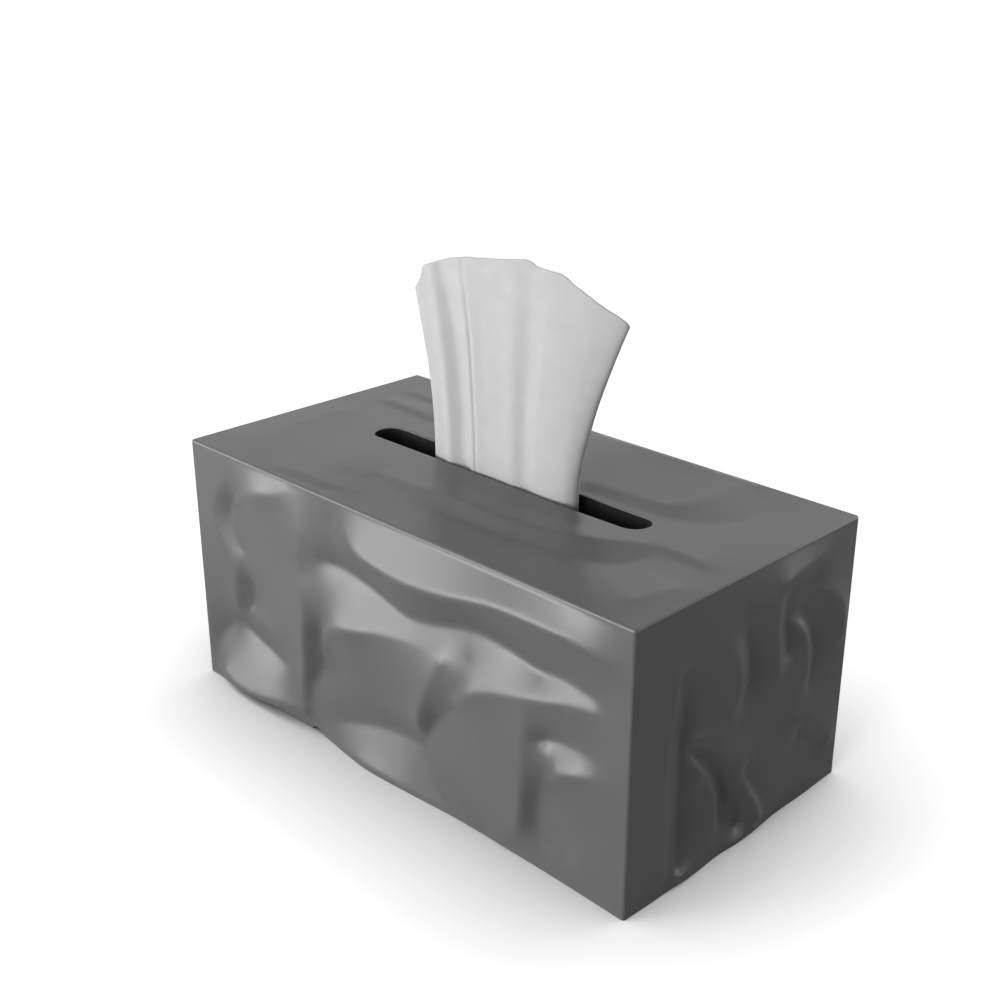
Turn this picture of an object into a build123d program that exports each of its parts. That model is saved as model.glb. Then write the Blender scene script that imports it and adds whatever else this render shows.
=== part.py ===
# A tissue box: a cast cover with crumpled walls, the carton of tissues under it, and the tissue pulled
# up through its slot. Millimetres, +Z up, +X along the length, -Y towards the front wall. The origin is
# on the surface that the cover stands on, under the middle of the box.
import math
import os

from build123d import *

# Cover: one thick casting, open below, crumpled outside and flat inside
cover_length = 255.0
cover_depth = 134.2
cover_height = 116.2
side_wall = 7.0  # from the outside corners in, so that the deepest fold keeps a wall
top_wall = 9.0
edge_radius = 1.1
inner_corner_radius = 4.0
land_width = 2.2  # flat stretch from the outside corner to the crumpled panel
relief_depth = 6.0  # a rise of 1 in the tables of folds
skirt = 12.0  # the skin is stretched this far below the rim, and cut at the rim

# Slot in the top of the cover
slot_length = 154.5
slot_width = 14.6
slot_corner_radius = 6.8

# Low gap in the front rim, where a fold runs out
gap_place_share = 0.312
gap_width = 9.0
gap_height = 2.4

# Carton: one folded and glued blank of thin board, with an oval torn open in its top
carton_end_room = 5.5
carton_side_room = 4.1
carton_height = 85.0
board_thickness = 0.6
carton_edge_radius = 0.9
opening_length = 150.0
opening_width = 44.0

# Stack of folded tissues, one solid
stack_end_room = 6.4
stack_side_room = 1.4
stack_height = 66.0
stack_edge_radius = 3.0

# The tissue that is pulled up, gathered in the slot
tissue_height = 93.0  # above the top of the cover
tissue_thickness = 1.4
fan_middle_share = -0.076  # of slot_length
fold_steps = 48

# How finely the skins are worked out and laid in strips
grid_step = 3.0
softenings = 6
panel_step = 6.0
wall_strip = 6.0
top_strip = 12.0
sweeps = 160
over_relaxation = 1.8
pin_stiffness = 20.0
overrun = 1.0

# Folds of each wall, the lines that its skin is stretched over. Each point is a share of the wall's
# width, a share of its height, and its rise outwards as a share of relief_depth.
front_fold_shares = {
    "long fold, crest": [
        (0.419, 0.917, 0.15), (0.446, 0.866, 0.61), (0.497, 0.856, 1.11), (0.581, 0.85, 1.34),
        (0.659, 0.867, 1.34), (0.715, 0.889, 1.23), (0.77, 0.906, 1.07), (0.864, 0.905, 0.88),
        (0.923, 0.887, 0.58), (0.965, 0.858, 0.19),
    ],
    "long fold, valley": [
        (0.337, 0.74, 0), (0.354, 0.739, -0.31), (0.379, 0.74, -0.58), (0.414, 0.731, -0.73),
        (0.452, 0.711, -0.81), (0.492, 0.691, -0.77), (0.538, 0.669, -0.65), (0.575, 0.68, -0.58),
        (0.613, 0.696, -0.61), (0.65, 0.719, -0.69), (0.689, 0.735, -0.73), (0.736, 0.735, -0.73),
        (0.768, 0.728, -0.69), (0.808, 0.712, -0.65), (0.828, 0.707, -0.65), (0.871, 0.725, -0.5),
        (0.936, 0.716, -0.23),
    ],
    "under the long fold, left": [
        (0.357, 0.445, 0.5), (0.391, 0.514, 0.77), (0.434, 0.55, 0.96), (0.493, 0.58, 0.96),
        (0.547, 0.596, 0.77), (0.6, 0.6, 0.5), (0.635, 0.62, 0.31),
    ],
    "under the long fold, right": [
        (0.674, 0.453, 0.46), (0.698, 0.528, 0.65), (0.726, 0.563, 0.69), (0.76, 0.595, 0.61),
        (0.814, 0.624, 0.42), (0.85, 0.638, 0.31), (0.886, 0.659, 0.15), (0.934, 0.672, 0.04),
    ],
    "tongue under the long fold": [
        (0.685, 0.63, -0.23), (0.68, 0.57, 0.08), (0.668, 0.489, 0.23),
    ],
    "left bend, crest": [
        (0.093, 0.894, -0.04), (0.064, 0.796, -0.13), (0.057, 0.709, -0.17), (0.072, 0.64, -0.17),
        (0.094, 0.584, -0.19), (0.105, 0.528, -0.19), (0.104, 0.441, -0.23), (0.094, 0.362, -0.27),
    ],
    "left bend, valley": [
        (0.111, 0.843, -0.29), (0.083, 0.75, -0.81), (0.072, 0.676, -0.69), (0.077, 0.635, -0.34),
        (0.095, 0.587, -0.36), (0.108, 0.549, -0.5), (0.124, 0.49, -0.88), (0.132, 0.432, -1.07),
        (0.129, 0.364, -1.03), (0.113, 0.327, -0.84),
    ],
    "ledge under the left bend": [
        (0.132, 0.335, -0.73), (0.173, 0.337, -0.31), (0.216, 0.34, 0), (0.265, 0.348, 0.27),
    ],
    "valley under the ledge": [
        (0.08, 0.3, -0.61), (0.107, 0.281, -0.96), (0.139, 0.251, -1.07), (0.182, 0.235, -0.92),
        (0.232, 0.236, -0.46),
    ],
    "left end of the lower left lobe": [
        (0.033, 0.068, -0.03), (0.03, 0.139, -0.23), (0.043, 0.204, -0.5), (0.062, 0.25, -0.7),
    ],
    "lower left lobe": [
        (0.06, 0.054, 0.37), (0.1, 0.031, 0.6), (0.149, 0.033, 0.67), (0.188, 0.05, 0.67),
        (0.231, 0.071, 0.63), (0.271, 0.087, 0.53), (0.296, 0.094, 0.4),
    ],
    "streak at the top left": [
        (0.119, 0.815, -0.1), (0.144, 0.852, 0.13), (0.173, 0.885, 0.37), (0.209, 0.911, 0.53),
        (0.239, 0.931, 0.48), (0.268, 0.962, 0.23),
    ],
    "rise before the first drop": [
        (0.295, 0.935, 0.19), (0.303, 0.838, 0.38), (0.304, 0.736, 0.42),
    ],
    "dip before the long fold": [
        (0.382, 0.926, -0.11), (0.373, 0.839, -0.15),
    ],
    "first drop, crest": [
        (0.307, 0.634, 0.46), (0.31, 0.534, 0.58), (0.309, 0.406, 0.61), (0.306, 0.293, 0.58),
        (0.299, 0.218, 0.38), (0.297, 0.155, 0.29), (0.297, 0.103, 0.27),
    ],
    "first drop, valley": [
        (0.349, 0.538, 0.15), (0.335, 0.465, -0.27), (0.329, 0.417, -0.42), (0.334, 0.328, -0.54),
        (0.329, 0.277, -0.5), (0.31, 0.219, -0.15), (0.304, 0.154, -0.04), (0.309, 0.102, -0.06),
        (0.326, 0.047, -0.15), (0.351, 0.019, -0.08),
    ],
    "valley of the lower middle field": [
        (0.361, 0.09, -0.17), (0.395, 0.118, -0.37), (0.435, 0.147, -0.53), (0.479, 0.174, -0.63),
        (0.527, 0.188, -0.6), (0.564, 0.2, -0.37),
    ],
    "second drop, crest": [
        (0.635, 0.595, 0.31), (0.615, 0.493, 0.65), (0.598, 0.384, 0.73), (0.59, 0.31, 0.58),
        (0.591, 0.253, 0.38), (0.594, 0.2, 0.34), (0.605, 0.151, 0.31), (0.626, 0.107, 0.27),
        (0.652, 0.063, 0.23), (0.679, 0.035, 0.19),
    ],
    "second drop, valley": [
        (0.658, 0.429, -0.04), (0.621, 0.353, -0.27), (0.601, 0.298, -0.11), (0.599, 0.242, 0.04),
        (0.605, 0.188, -0.04), (0.619, 0.144, -0.08), (0.646, 0.087, -0.11), (0.684, 0.038, -0.11),
        (0.716, 0.019, -0.08),
    ],
    "third drop, crest": [
        (0.811, 0.582, 0.46), (0.814, 0.465, 0.58), (0.812, 0.362, 0.58), (0.809, 0.257, 0.54),
        (0.806, 0.17, 0.5), (0.789, 0.097, 0.34), (0.748, 0.038, 0.11),
    ],
    "third drop, valley": [
        (0.858, 0.408, 0.11), (0.837, 0.319, -0.27), (0.829, 0.248, -0.34), (0.827, 0.179, -0.34),
        (0.833, 0.132, -0.34), (0.851, 0.101, -0.34), (0.885, 0.096, -0.23),
    ],
    "lower right lobe": [
        (0.849, 0.337, -0.1), (0.871, 0.363, 0.2), (0.903, 0.39, 0.37), (0.938, 0.411, 0.2),
    ],
    "dip over the lower right lobe": [
        (0.838, 0.476, -0.2), (0.864, 0.494, -0.3), (0.906, 0.511, -0.17), (0.94, 0.514, -0.07),
    ],
    "foot of the lower right lobe": [
        (0.913, 0.107, 0.11), (0.96, 0.124, 0.11),
    ],
    "rim": [
        (0.012, 0, 0), (0.04, 0.001, 0.03), (0.092, 0.007, 0.23), (0.136, 0.004, 0.13),
        (0.186, 0, -0.1), (0.238, 0, -0.23), (0.306, 0, -0.33), (0.35, 0, -0.13), (0.397, 0.006, 0.2),
        (0.454, 0.014, 0.47), (0.511, 0.012, 0.4), (0.577, 0.006, 0.2), (0.628, 0.001, 0.03),
        (0.695, 0, -0.13), (0.801, 0, -0.13), (0.92, 0, -0.07), (0.988, 0, 0),
    ],
    "plain of the middle field": [
        (0.386, 0.381, 0.07), (0.442, 0.373, 0.1), (0.498, 0.366, 0.15), (0.556, 0.362, 0.3),
    ],
}
right_fold_shares = {
    "first drop, crest": [
        (0.18, 0.796, 0.14), (0.165, 0.678, 0.23), (0.137, 0.562, 0.36), (0.112, 0.445, 0.5),
        (0.121, 0.343, 0.54), (0.131, 0.222, 0.5), (0.14, 0.08, 0.36),
    ],
    "first drop, valley": [
        (0.199, 0.756, -0.05), (0.217, 0.646, -0.27), (0.232, 0.537, -0.45), (0.224, 0.435, -0.41),
        (0.225, 0.313, -0.45), (0.228, 0.192, -0.5), (0.221, 0.112, -0.27), (0.226, 0.05, -0.05),
    ],
    "round patch, crest": [
        (0.415, 0.781, 0.23), (0.433, 0.718, 0.41), (0.436, 0.652, 0.5), (0.429, 0.592, 0.5),
        (0.407, 0.537, 0.41),
    ],
    "round patch, valley": [
        (0.475, 0.788, -0.14), (0.504, 0.683, -0.18), (0.505, 0.598, -0.14), (0.477, 0.534, 0),
    ],
    "crease into the round patch": [
        (0.243, 0.551, -0.27), (0.259, 0.581, -0.14), (0.272, 0.614, 0.09),
    ],
    "slanted fold, crest": [
        (0.241, 0.505, -0.23), (0.275, 0.5, 0.18), (0.319, 0.48, 0.36), (0.362, 0.434, 0.41),
        (0.416, 0.385, 0.36), (0.457, 0.335, 0.27), (0.484, 0.272, 0.18),
    ],
    "slanted fold, left valley": [
        (0.253, 0.45, -0.5), (0.299, 0.437, -0.36), (0.367, 0.388, -0.54), (0.41, 0.332, -0.67),
        (0.416, 0.256, -0.63), (0.415, 0.158, -0.45), (0.407, 0.081, -0.18),
    ],
    "slanted fold, right valley": [
        (0.417, 0.374, -0.17), (0.459, 0.297, -0.43), (0.487, 0.224, -0.57), (0.513, 0.136, -0.63),
        (0.519, 0.056, -0.43),
    ],
    "step under the slanted fold": [
        (0.261, 0.446, -0.33), (0.279, 0.411, -0.07), (0.299, 0.357, 0.15), (0.329, 0.305, 0.13),
    ],
    "wedge, crest": [
        (0.49, 0.271, 0.13), (0.512, 0.216, 0.3), (0.534, 0.152, 0.47), (0.56, 0.077, 0.57),
    ],
    "ledge under the top edge": [
        (0.58, 0.915, 0.36), (0.615, 0.913, 0.58), (0.659, 0.921, 0.58), (0.759, 0.923, 0.36),
        (0.829, 0.934, 0.14),
    ],
    "dip under the ledge": [
        (0.662, 0.839, -0.14), (0.742, 0.827, -0.27), (0.811, 0.839, -0.14),
    ],
    "upright stripe, crest": [
        (0.604, 0.87, 0.32), (0.606, 0.768, 0.36), (0.612, 0.666, 0.41), (0.632, 0.579, 0.36),
    ],
    "upright stripe, valley": [
        (0.664, 0.786, -0.18), (0.685, 0.679, -0.32), (0.696, 0.596, -0.23),
    ],
    "bent fold, crest": [
        (0.688, 0.722, -0.05), (0.72, 0.708, 0.23), (0.751, 0.669, 0.36), (0.772, 0.615, 0.41),
        (0.783, 0.546, 0.41), (0.785, 0.464, 0.27),
    ],
    "bent fold, valley": [
        (0.731, 0.717, -0.18), (0.785, 0.673, -0.23), (0.821, 0.603, -0.27), (0.832, 0.525, -0.27),
        (0.822, 0.443, -0.14),
    ],
    "edge of the back patch": [
        (0.805, 0.796, 0), (0.869, 0.777, 0.23), (0.921, 0.732, 0.32), (0.949, 0.665, 0.36),
        (0.964, 0.576, 0.27),
    ],
    "lower back fold, crest": [
        (0.648, 0.332, 0.18), (0.714, 0.329, 0.36), (0.772, 0.305, 0.41), (0.856, 0.265, 0.36),
        (0.944, 0.175, 0.23),
    ],
    "lower back fold, valley": [
        (0.807, 0.248, -0.05), (0.883, 0.204, -0.09),
    ],
    "swell at the rim": [
        (0.205, 0.038, 0.41), (0.267, 0.032, 0.36), (0.335, 0.018, 0.18),
    ],
    "rim": [
        (0.022, 0, 0), (0.101, 0.002, 0.07), (0.189, 0.003, 0.1), (0.289, 0.006, 0.2),
        (0.405, 0.003, 0.1), (0.495, 0.008, 0.27), (0.572, 0.006, 0.2), (0.684, 0.001, 0.03),
        (0.817, 0.002, 0.07), (0.969, 0, 0),
    ],
}
back_fold_shares = {
    "left long fold, crest": [
        (0.078, 0.757, 0.1), (0.149, 0.826, 0.68), (0.243, 0.843, 1.04), (0.353, 0.818, 1.12),
        (0.463, 0.835, 0.92), (0.549, 0.886, 0.32),
    ],
    "left long fold, valley": [
        (0.102, 0.637, 0), (0.173, 0.706, -0.48), (0.267, 0.731, -0.64), (0.376, 0.706, -0.64),
        (0.478, 0.723, -0.4), (0.573, 0.775, -0.08),
    ],
    "right long fold, crest": [
        (0.588, 0.895, 0.2), (0.667, 0.835, 0.64), (0.769, 0.792, 0.84), (0.871, 0.826, 0.52),
        (0.941, 0.895, 0.12),
    ],
    "right long fold, valley": [
        (0.627, 0.757, -0.12), (0.706, 0.706, -0.52), (0.8, 0.671, -0.6), (0.894, 0.706, -0.28),
    ],
    "first drop, crest": [
        (0.204, 0.602, 0.32), (0.196, 0.448, 0.6), (0.212, 0.293, 0.64), (0.204, 0.12, 0.36),
    ],
    "first drop, valley": [
        (0.251, 0.534, -0.08), (0.239, 0.413, -0.4), (0.251, 0.275, -0.44), (0.275, 0.138, -0.2),
    ],
    "second drop, crest": [
        (0.439, 0.62, 0.36), (0.424, 0.465, 0.68), (0.431, 0.31, 0.72), (0.408, 0.138, 0.4),
    ],
    "second drop, valley": [
        (0.486, 0.551, -0.08), (0.463, 0.43, -0.36), (0.471, 0.293, -0.44), (0.502, 0.138, -0.2),
    ],
    "third drop, crest": [
        (0.69, 0.568, 0.32), (0.675, 0.413, 0.6), (0.69, 0.258, 0.6), (0.667, 0.103, 0.32),
    ],
    "third drop, valley": [
        (0.745, 0.499, -0.12), (0.722, 0.379, -0.4), (0.737, 0.241, -0.4), (0.776, 0.103, -0.16),
    ],
    "last drop, crest": [
        (0.886, 0.516, 0.24), (0.871, 0.361, 0.48), (0.894, 0.207, 0.4),
    ],
    "last drop, valley": [
        (0.933, 0.465, -0.16), (0.914, 0.344, -0.28), (0.933, 0.207, -0.2),
    ],
    "lower left swell": [
        (0.031, 0.344, 0.24), (0.078, 0.258, 0.44), (0.133, 0.103, 0.44),
    ],
    "rim": [
        (0.016, 0, 0), (0.157, 0, 0.13), (0.275, 0, -0.13), (0.392, 0, 0.23), (0.529, 0, -0.13),
        (0.647, 0, 0.17), (0.784, 0, -0.1), (0.98, 0, 0),
    ],
}
left_fold_shares = {
    "long fold, crest": [
        (0.119, 0.723, 0.1), (0.253, 0.792, 0.52), (0.432, 0.792, 0.72), (0.611, 0.843, 0.48),
        (0.745, 0.912, 0.12),
    ],
    "long fold, valley": [
        (0.164, 0.62, 0), (0.298, 0.68, -0.4), (0.462, 0.68, -0.48), (0.641, 0.731, -0.28),
        (0.805, 0.792, -0.04),
    ],
    "first drop, crest": [
        (0.328, 0.568, 0.28), (0.298, 0.413, 0.48), (0.328, 0.258, 0.48), (0.298, 0.103, 0.28),
    ],
    "first drop, valley": [
        (0.417, 0.499, -0.12), (0.38, 0.379, -0.36), (0.41, 0.241, -0.36), (0.462, 0.103, -0.12),
    ],
    "second drop, crest": [
        (0.715, 0.62, 0.24), (0.686, 0.465, 0.52), (0.715, 0.293, 0.52), (0.671, 0.12, 0.28),
    ],
    "second drop, valley": [
        (0.82, 0.534, -0.12), (0.775, 0.413, -0.32), (0.805, 0.258, -0.32), (0.864, 0.12, -0.12),
    ],
    "front swell": [
        (0.089, 0.43, 0.16), (0.119, 0.293, 0.32), (0.089, 0.138, 0.24),
    ],
    "rim": [
        (0.022, 0, 0), (0.224, 0, 0.1), (0.447, 0, -0.1), (0.686, 0, 0.13), (0.969, 0, 0),
    ],
}
top_fold_shares = {
    "long fold, crest": [
        (0.393, 0.143, 0.03), (0.428, 0.129, 0.12), (0.471, 0.126, 0.2), (0.522, 0.13, 0.3),
        (0.564, 0.151, 0.37), (0.644, 0.158, 0.42), (0.723, 0.177, 0.42), (0.82, 0.193, 0.4),
        (0.854, 0.222, 0.37), (0.877, 0.27, 0.37), (0.879, 0.35, 0.3),
    ],
    "long fold, valley": [
        (0.382, 0.235, -0.05), (0.414, 0.241, -0.13), (0.454, 0.255, -0.22), (0.497, 0.274, -0.32),
        (0.574, 0.269, -0.35), (0.633, 0.269, -0.35), (0.693, 0.277, -0.32), (0.754, 0.292, -0.27),
        (0.796, 0.321, -0.2), (0.825, 0.367, -0.17), (0.848, 0.409, -0.08),
    ],
    "left end of the long fold": [
        (0.311, 0.131, 0.13), (0.344, 0.189, 0.17), (0.366, 0.258, 0.13), (0.395, 0.336, 0.08),
    ],
    "left swell": [
        (0.07, 0.531, 0.08), (0.067, 0.41, 0.09), (0.07, 0.276, 0.09), (0.097, 0.173, 0.08),
    ],
    "middle of the left field": [
        (0.167, 0.339, 0.25), (0.246, 0.263, 0.27), (0.307, 0.206, 0.23),
    ],
    "dip before the slot": [
        (0.433, 0.37, 0.04), (0.505, 0.352, -0.11), (0.621, 0.34, -0.15), (0.716, 0.353, -0.13),
    ],
    "swell at the front edge": [
        (0.219, 0.06, 0.09), (0.301, 0.058, 0.17), (0.35, 0.064, 0.13), (0.387, 0.085, 0.06),
    ],
    "dip at the front edge": [
        (0.234, 0.033, -0.04), (0.311, 0.038, -0.06), (0.359, 0.04, -0.04),
    ],
    "short crease": [
        (0.866, 0.419, 0.08), (0.9, 0.402, 0.15), (0.938, 0.394, 0.11),
    ],
    "right front field": [
        (0.948, 0.136, 0.17), (0.971, 0.257, 0.15),
    ],
    "fold behind the slot, crest": [
        (0.634, 0.577, 0.15), (0.713, 0.579, 0.17), (0.783, 0.583, 0.17), (0.83, 0.613, 0.17),
        (0.866, 0.665, 0.17), (0.885, 0.717, 0.17),
    ],
    "fold behind the slot, valley": [
        (0.623, 0.65, -0.11), (0.701, 0.658, -0.13), (0.772, 0.661, -0.11), (0.811, 0.694, -0.11),
    ],
    "right back field, crest": [
        (0.888, 0.723, 0.19), (0.882, 0.778, 0.25), (0.867, 0.853, 0.25), (0.85, 0.941, 0.17),
    ],
    "right back field, foot": [
        (0.904, 0.741, 0.06), (0.897, 0.814, 0.08), (0.881, 0.888, 0.08),
    ],
    "left back crease, crest": [
        (0.089, 0.721, 0.08), (0.161, 0.708, 0.09), (0.231, 0.701, 0.09),
    ],
    "left back crease, valley": [
        (0.084, 0.697, -0.06), (0.154, 0.688, -0.08), (0.232, 0.676, -0.08),
    ],
    "corner crease, crest": [
        (0.081, 0.838, 0.06), (0.16, 0.825, 0.08),
    ],
    "corner crease, valley": [
        (0.077, 0.815, -0.04), (0.155, 0.805, -0.06),
    ],
    "raised stretch of the back edge": [
        (0.472, 0.974, 0.03), (0.558, 0.968, 0.23), (0.634, 0.959, 0.35), (0.696, 0.961, 0.33),
        (0.759, 0.974, 0.15), (0.825, 0.981, 0.03),
    ],
}

# The pulled tissue in plan, where it passes the slot: its left edge, its front, its right side and
# back behind. Each point is a share of slot_length, a share of slot_width, and the share of
# tissue_height that the sheet reaches there.
tissue_plan_shares = [
    (-0.246, -0.18, 0.761), (-0.201, -0.3, 0.847), (-0.168, -0.34, 0.9), (-0.126, -0.15, 0.933),
    (-0.084, -0.34, 0.955), (0, -0.29, 0.985), (0.058, -0.33, 0.99), (0.104, -0.25, 0.95),
    (0.175, -0.32, 0.888), (0.236, -0.25, 0.83), (0.265, 0.03, 0.82), (0.233, 0.27, 0.8),
    (0.142, 0.32, 0.815), (0.026, 0.27, 0.87), (-0.091, 0.33, 0.87), (-0.194, 0.27, 0.79),
]
foot_spread_share = 1.3  # how wide the sheet is on the stack, as a share of its width in the slot
opening_spread_share = 1.08
fan_low_share = (0.37, 1.15)  # share of tissue_height, and how wide the sheet is there
fan_high_share = (1, 1.6)


def smooth_line(points, step):
    # A Catmull-Rom curve through the points, in pieces about one step long
    before = [2 * a - b for a, b in zip(points[0], points[1])]
    after = [2 * a - b for a, b in zip(points[-1], points[-2])]
    chain = [before, *points, after]
    line = []
    for p0, p1, p2, p3 in zip(chain, chain[1:], chain[2:], chain[3:]):
        pieces = max(2, math.ceil(math.dist(p1[:2], p2[:2]) / step))
        for k in range(pieces):
            t = k / pieces
            weights = (-t + 2 * t**2 - t**3, 2 - 5 * t**2 + 3 * t**3, t + 4 * t**2 - 3 * t**3, t**3 - t**2)
            line.append([sum(w * p for w, p in zip(weights, ps)) / 2 for ps in zip(p0, p1, p2, p3)])
    return line + [points[-1]]


def even_steps(start, end, step):
    count = max(1, round((end - start) / step))
    return [start + (end - start) * k / count for k in range(count + 1)]


class Skin:
    # A membrane that is held flat along its border and stretched over the folds of one wall

    def __init__(self, width, bottom, height, fold_shares):
        self.us = even_steps(land_width, width - land_width, grid_step)
        self.vs = even_steps(bottom, height - land_width, grid_step)
        self.rises = [[0.0] * len(self.us) for _ in self.vs]
        self.pins = []
        for shares in fold_shares.values():
            fold = [(u * width, v * height, rise * relief_depth) for u, v, rise in shares]
            for u, v, rise in smooth_line(fold, grid_step / 2):
                self.pins.append({"nodes": self.nodes_round(u, v), "miss": -rise})
        self.relax()
        for _ in range(softenings):
            self.soften()

    def nodes_round(self, u, v):
        # The four grid nodes round a point, each with its weight there
        x = (u - self.us[0]) / (self.us[1] - self.us[0])
        y = (v - self.vs[0]) / (self.vs[1] - self.vs[0])
        i = min(max(int(x), 0), len(self.us) - 2)
        j = min(max(int(y), 0), len(self.vs) - 2)
        a = min(max(x - i, 0), 1)
        b = min(max(y - j, 0), 1)
        low = [(j, i, (1 - a) * (1 - b)), (j, i + 1, a * (1 - b))]
        high = [(j + 1, i, (1 - a) * b), (j + 1, i + 1, a * b)]
        return low + high

    def relax(self):
        # Each node goes where its neighbours and the pins round it pull it, over and over
        pulls = {}
        for pin in self.pins:
            for j, i, weight in pin["nodes"]:
                pulls.setdefault((j, i), []).append((pin, weight))
        stiffness = {}
        for node, near in pulls.items():
            stiffness[node] = 4 + pin_stiffness * sum(weight**2 for _, weight in near)
        rises = self.rises
        for _ in range(sweeps):
            for j in range(1, len(self.vs) - 1):
                below, row, above = rises[j - 1], rises[j], rises[j + 1]
                for i in range(1, len(self.us) - 1):
                    pull = row[i - 1] + row[i + 1] + above[i] + below[i] - 4 * row[i]
                    near = pulls.get((j, i), ())
                    for pin, weight in near:
                        pull -= pin_stiffness * weight * pin["miss"]
                    move = over_relaxation * pull / stiffness.get((j, i), 4)
                    row[i] += move
                    for pin, weight in near:
                        pin["miss"] += weight * move

    def soften(self):
        # Rounds the creases: each node goes to the middle between itself and its neighbours' average
        old = [row[:] for row in self.rises]
        for j in range(1, len(self.vs) - 1):
            for i in range(1, len(self.us) - 1):
                around = old[j - 1][i] + old[j + 1][i] + old[j][i - 1] + old[j][i + 1]
                self.rises[j][i] = old[j][i] / 2 + around / 8

    def rise(self, u, v):
        return sum(weight * self.rises[j][i] for j, i, weight in self.nodes_round(u, v))


def ruled(curves):
    return [Face.make_surface_from_curves(low, high) for low, high in zip(curves, curves[1:])]


def ends(curves, at):
    return [curve.position_at(at) for curve in curves]


def panel_curves(plane, width, skin, vs):
    # Level splines across the crumpled middle of a wall
    us = even_steps(land_width, width - land_width, panel_step)
    curves = []
    for v in vs:
        points = [plane.from_local_coords((u, v, skin.rise(u, v))) for u in us]
        curves.append(Edge.make_spline(points, parameters=us))
    return curves


def side_faces(plane, width, skin):
    # A side wall's outside: the crumpled strips and the flat land round them. With them, its rim line.
    curves = panel_curves(plane, width, skin, even_steps(0, cover_height - land_width, wall_strip))
    sides = (edge_radius, width - edge_radius)
    feet = [plane.from_local_coords((u, 0, 0)) for u in sides]
    heads = [plane.from_local_coords((u, cover_height - edge_radius, 0)) for u in sides]
    left, right = ends(curves, 0), ends(curves, 1)
    land = Face(Wire.make_polygon([feet[0], *heads, feet[1], *right, *left[::-1]]))
    rim_line = [Edge.make_line(feet[0], left[0]), curves[0], Edge.make_line(right[0], feet[1])]
    return ruled(curves) + [land], rim_line


def top_faces(plane, skin):
    vs = even_steps(land_width, cover_depth - land_width, top_strip)
    curves = panel_curves(plane, cover_length, skin, vs)
    near, right, far = edge_radius, cover_length - edge_radius, cover_depth - edge_radius
    corners = [(near, near), (right, near), (right, far), (near, far)]
    outline = Wire.make_polygon([plane.from_local_coords((u, v, 0)) for u, v in corners])
    window = Wire.make_polygon([*ends(curves, 0), *ends(curves, 1)[::-1]])
    return ruled(curves) + [Face(outline, [window])]


def crumpled_block():
    # The cover before it is hollowed: five crumpled walls, rounded edges and a flat underside
    right, far = cover_length / 2, cover_depth / 2
    walls = [
        ((-right, -far), (1, 0), cover_length, front_fold_shares),
        ((right, -far), (0, 1), cover_depth, right_fold_shares),
        ((right, far), (-1, 0), cover_length, back_fold_shares),
        ((-right, far), (0, -1), cover_depth, left_fold_shares),
    ]
    faces, rim_lines = [], []
    for (x, y), (way_x, way_y), width, fold_shares in walls:
        plane = Plane(origin=(x, y, 0), x_dir=(way_x, way_y, 0), z_dir=(way_y, -way_x, 0))
        wall, rim_line = side_faces(plane, width, Skin(width, -skirt, cover_height, fold_shares))
        faces += wall
        rim_lines += rim_line
    plane = Plane(origin=(-right, -far, cover_height), x_dir=(1, 0, 0), z_dir=(0, 0, 1))
    faces += top_faces(plane, Skin(cover_length, land_width, cover_depth, top_fold_shares))

    block = Box(cover_length, cover_depth, cover_height, align=base)
    block = fillet(block.edges().filter_by(lambda edge: edge.center().Z > 0), edge_radius)
    faces += block.faces().filter_by(GeomType.PLANE, reverse=True)
    rim_lines += block.edges().filter_by(GeomType.CIRCLE).group_by(Axis.Z)[0]
    faces.append(Face(Wire(rim_lines)))
    return Solid(Shell(faces))


def tissue_line():
    # The folds of the sheet in the slot as one smooth line, which rises as far as the sheet reaches
    points = []
    for u, v, reach in tissue_plan_shares:
        points.append((u * slot_length, v * slot_width, reach * tissue_height))
    line = Edge.make_spline(points)
    return line.positions([step / fold_steps for step in range(fold_steps + 1)])


def tissue_level(line, spread, height):
    # The sheet's front and back at one level, spread out from the fan's middle
    fan_middle = fan_middle_share * slot_length
    middle = []
    for point in line:
        wide = spread(point.Z / tissue_height)
        x = fan_middle + wide * (point.X - fan_middle)
        middle.append((x, wide * point.Y, height(point.Z)))
    front, back = [], []
    for before, point, after in zip([middle[0], *middle], middle, [*middle[1:], middle[-1]]):
        x, y = after[0] - before[0], after[1] - before[1]
        half = tissue_thickness / 2 / math.hypot(x, y)
        front.append((point[0] + y * half, point[1] - x * half, point[2]))
        back.append((point[0] - y * half, point[1] + x * half, point[2]))
    return front, back


def facets(low, high):
    # Flat triangles between two lines with the same number of points
    faces = []
    for a, b, c, d in zip(low, low[1:], high, high[1:]):
        faces += [Face(Wire.make_polygon(corners)) for corners in ([a, b, c], [b, d, c])]
    return faces


def tissue_solid():
    # A thin sheet: facets in front and behind, closed at its edges
    line = tissue_line()
    (low, low_spread), (high, high_spread) = fan_low_share, fan_high_share
    levels = [
        tissue_level(line, lambda reach: foot_spread_share, lambda rise: stack_top),
        tissue_level(line, lambda reach: opening_spread_share, lambda rise: carton_height),
        tissue_level(line, lambda reach: 1, lambda rise: cover_height),
        tissue_level(
            line, lambda reach: low_spread, lambda rise: cover_height + low * tissue_height
        ),
        tissue_level(
            line,
            lambda reach: low_spread + (high_spread - low_spread) * (reach - low) / (high - low),
            lambda rise: cover_height + rise,
        ),
    ]
    faces = []
    for (front, back), (front_above, back_above) in zip(levels, levels[1:]):
        faces += facets(front, front_above) + facets(back, back_above)
        for end in (0, -1):
            faces += facets([front[end], back[end]], [front_above[end], back_above[end]])
    for front, back in (levels[0], levels[-1]):
        faces += facets(front, back)
    return Solid(Shell(faces))


os.makedirs("parts", exist_ok=True)
base = (Align.CENTER, Align.CENTER, Align.MIN)

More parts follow.
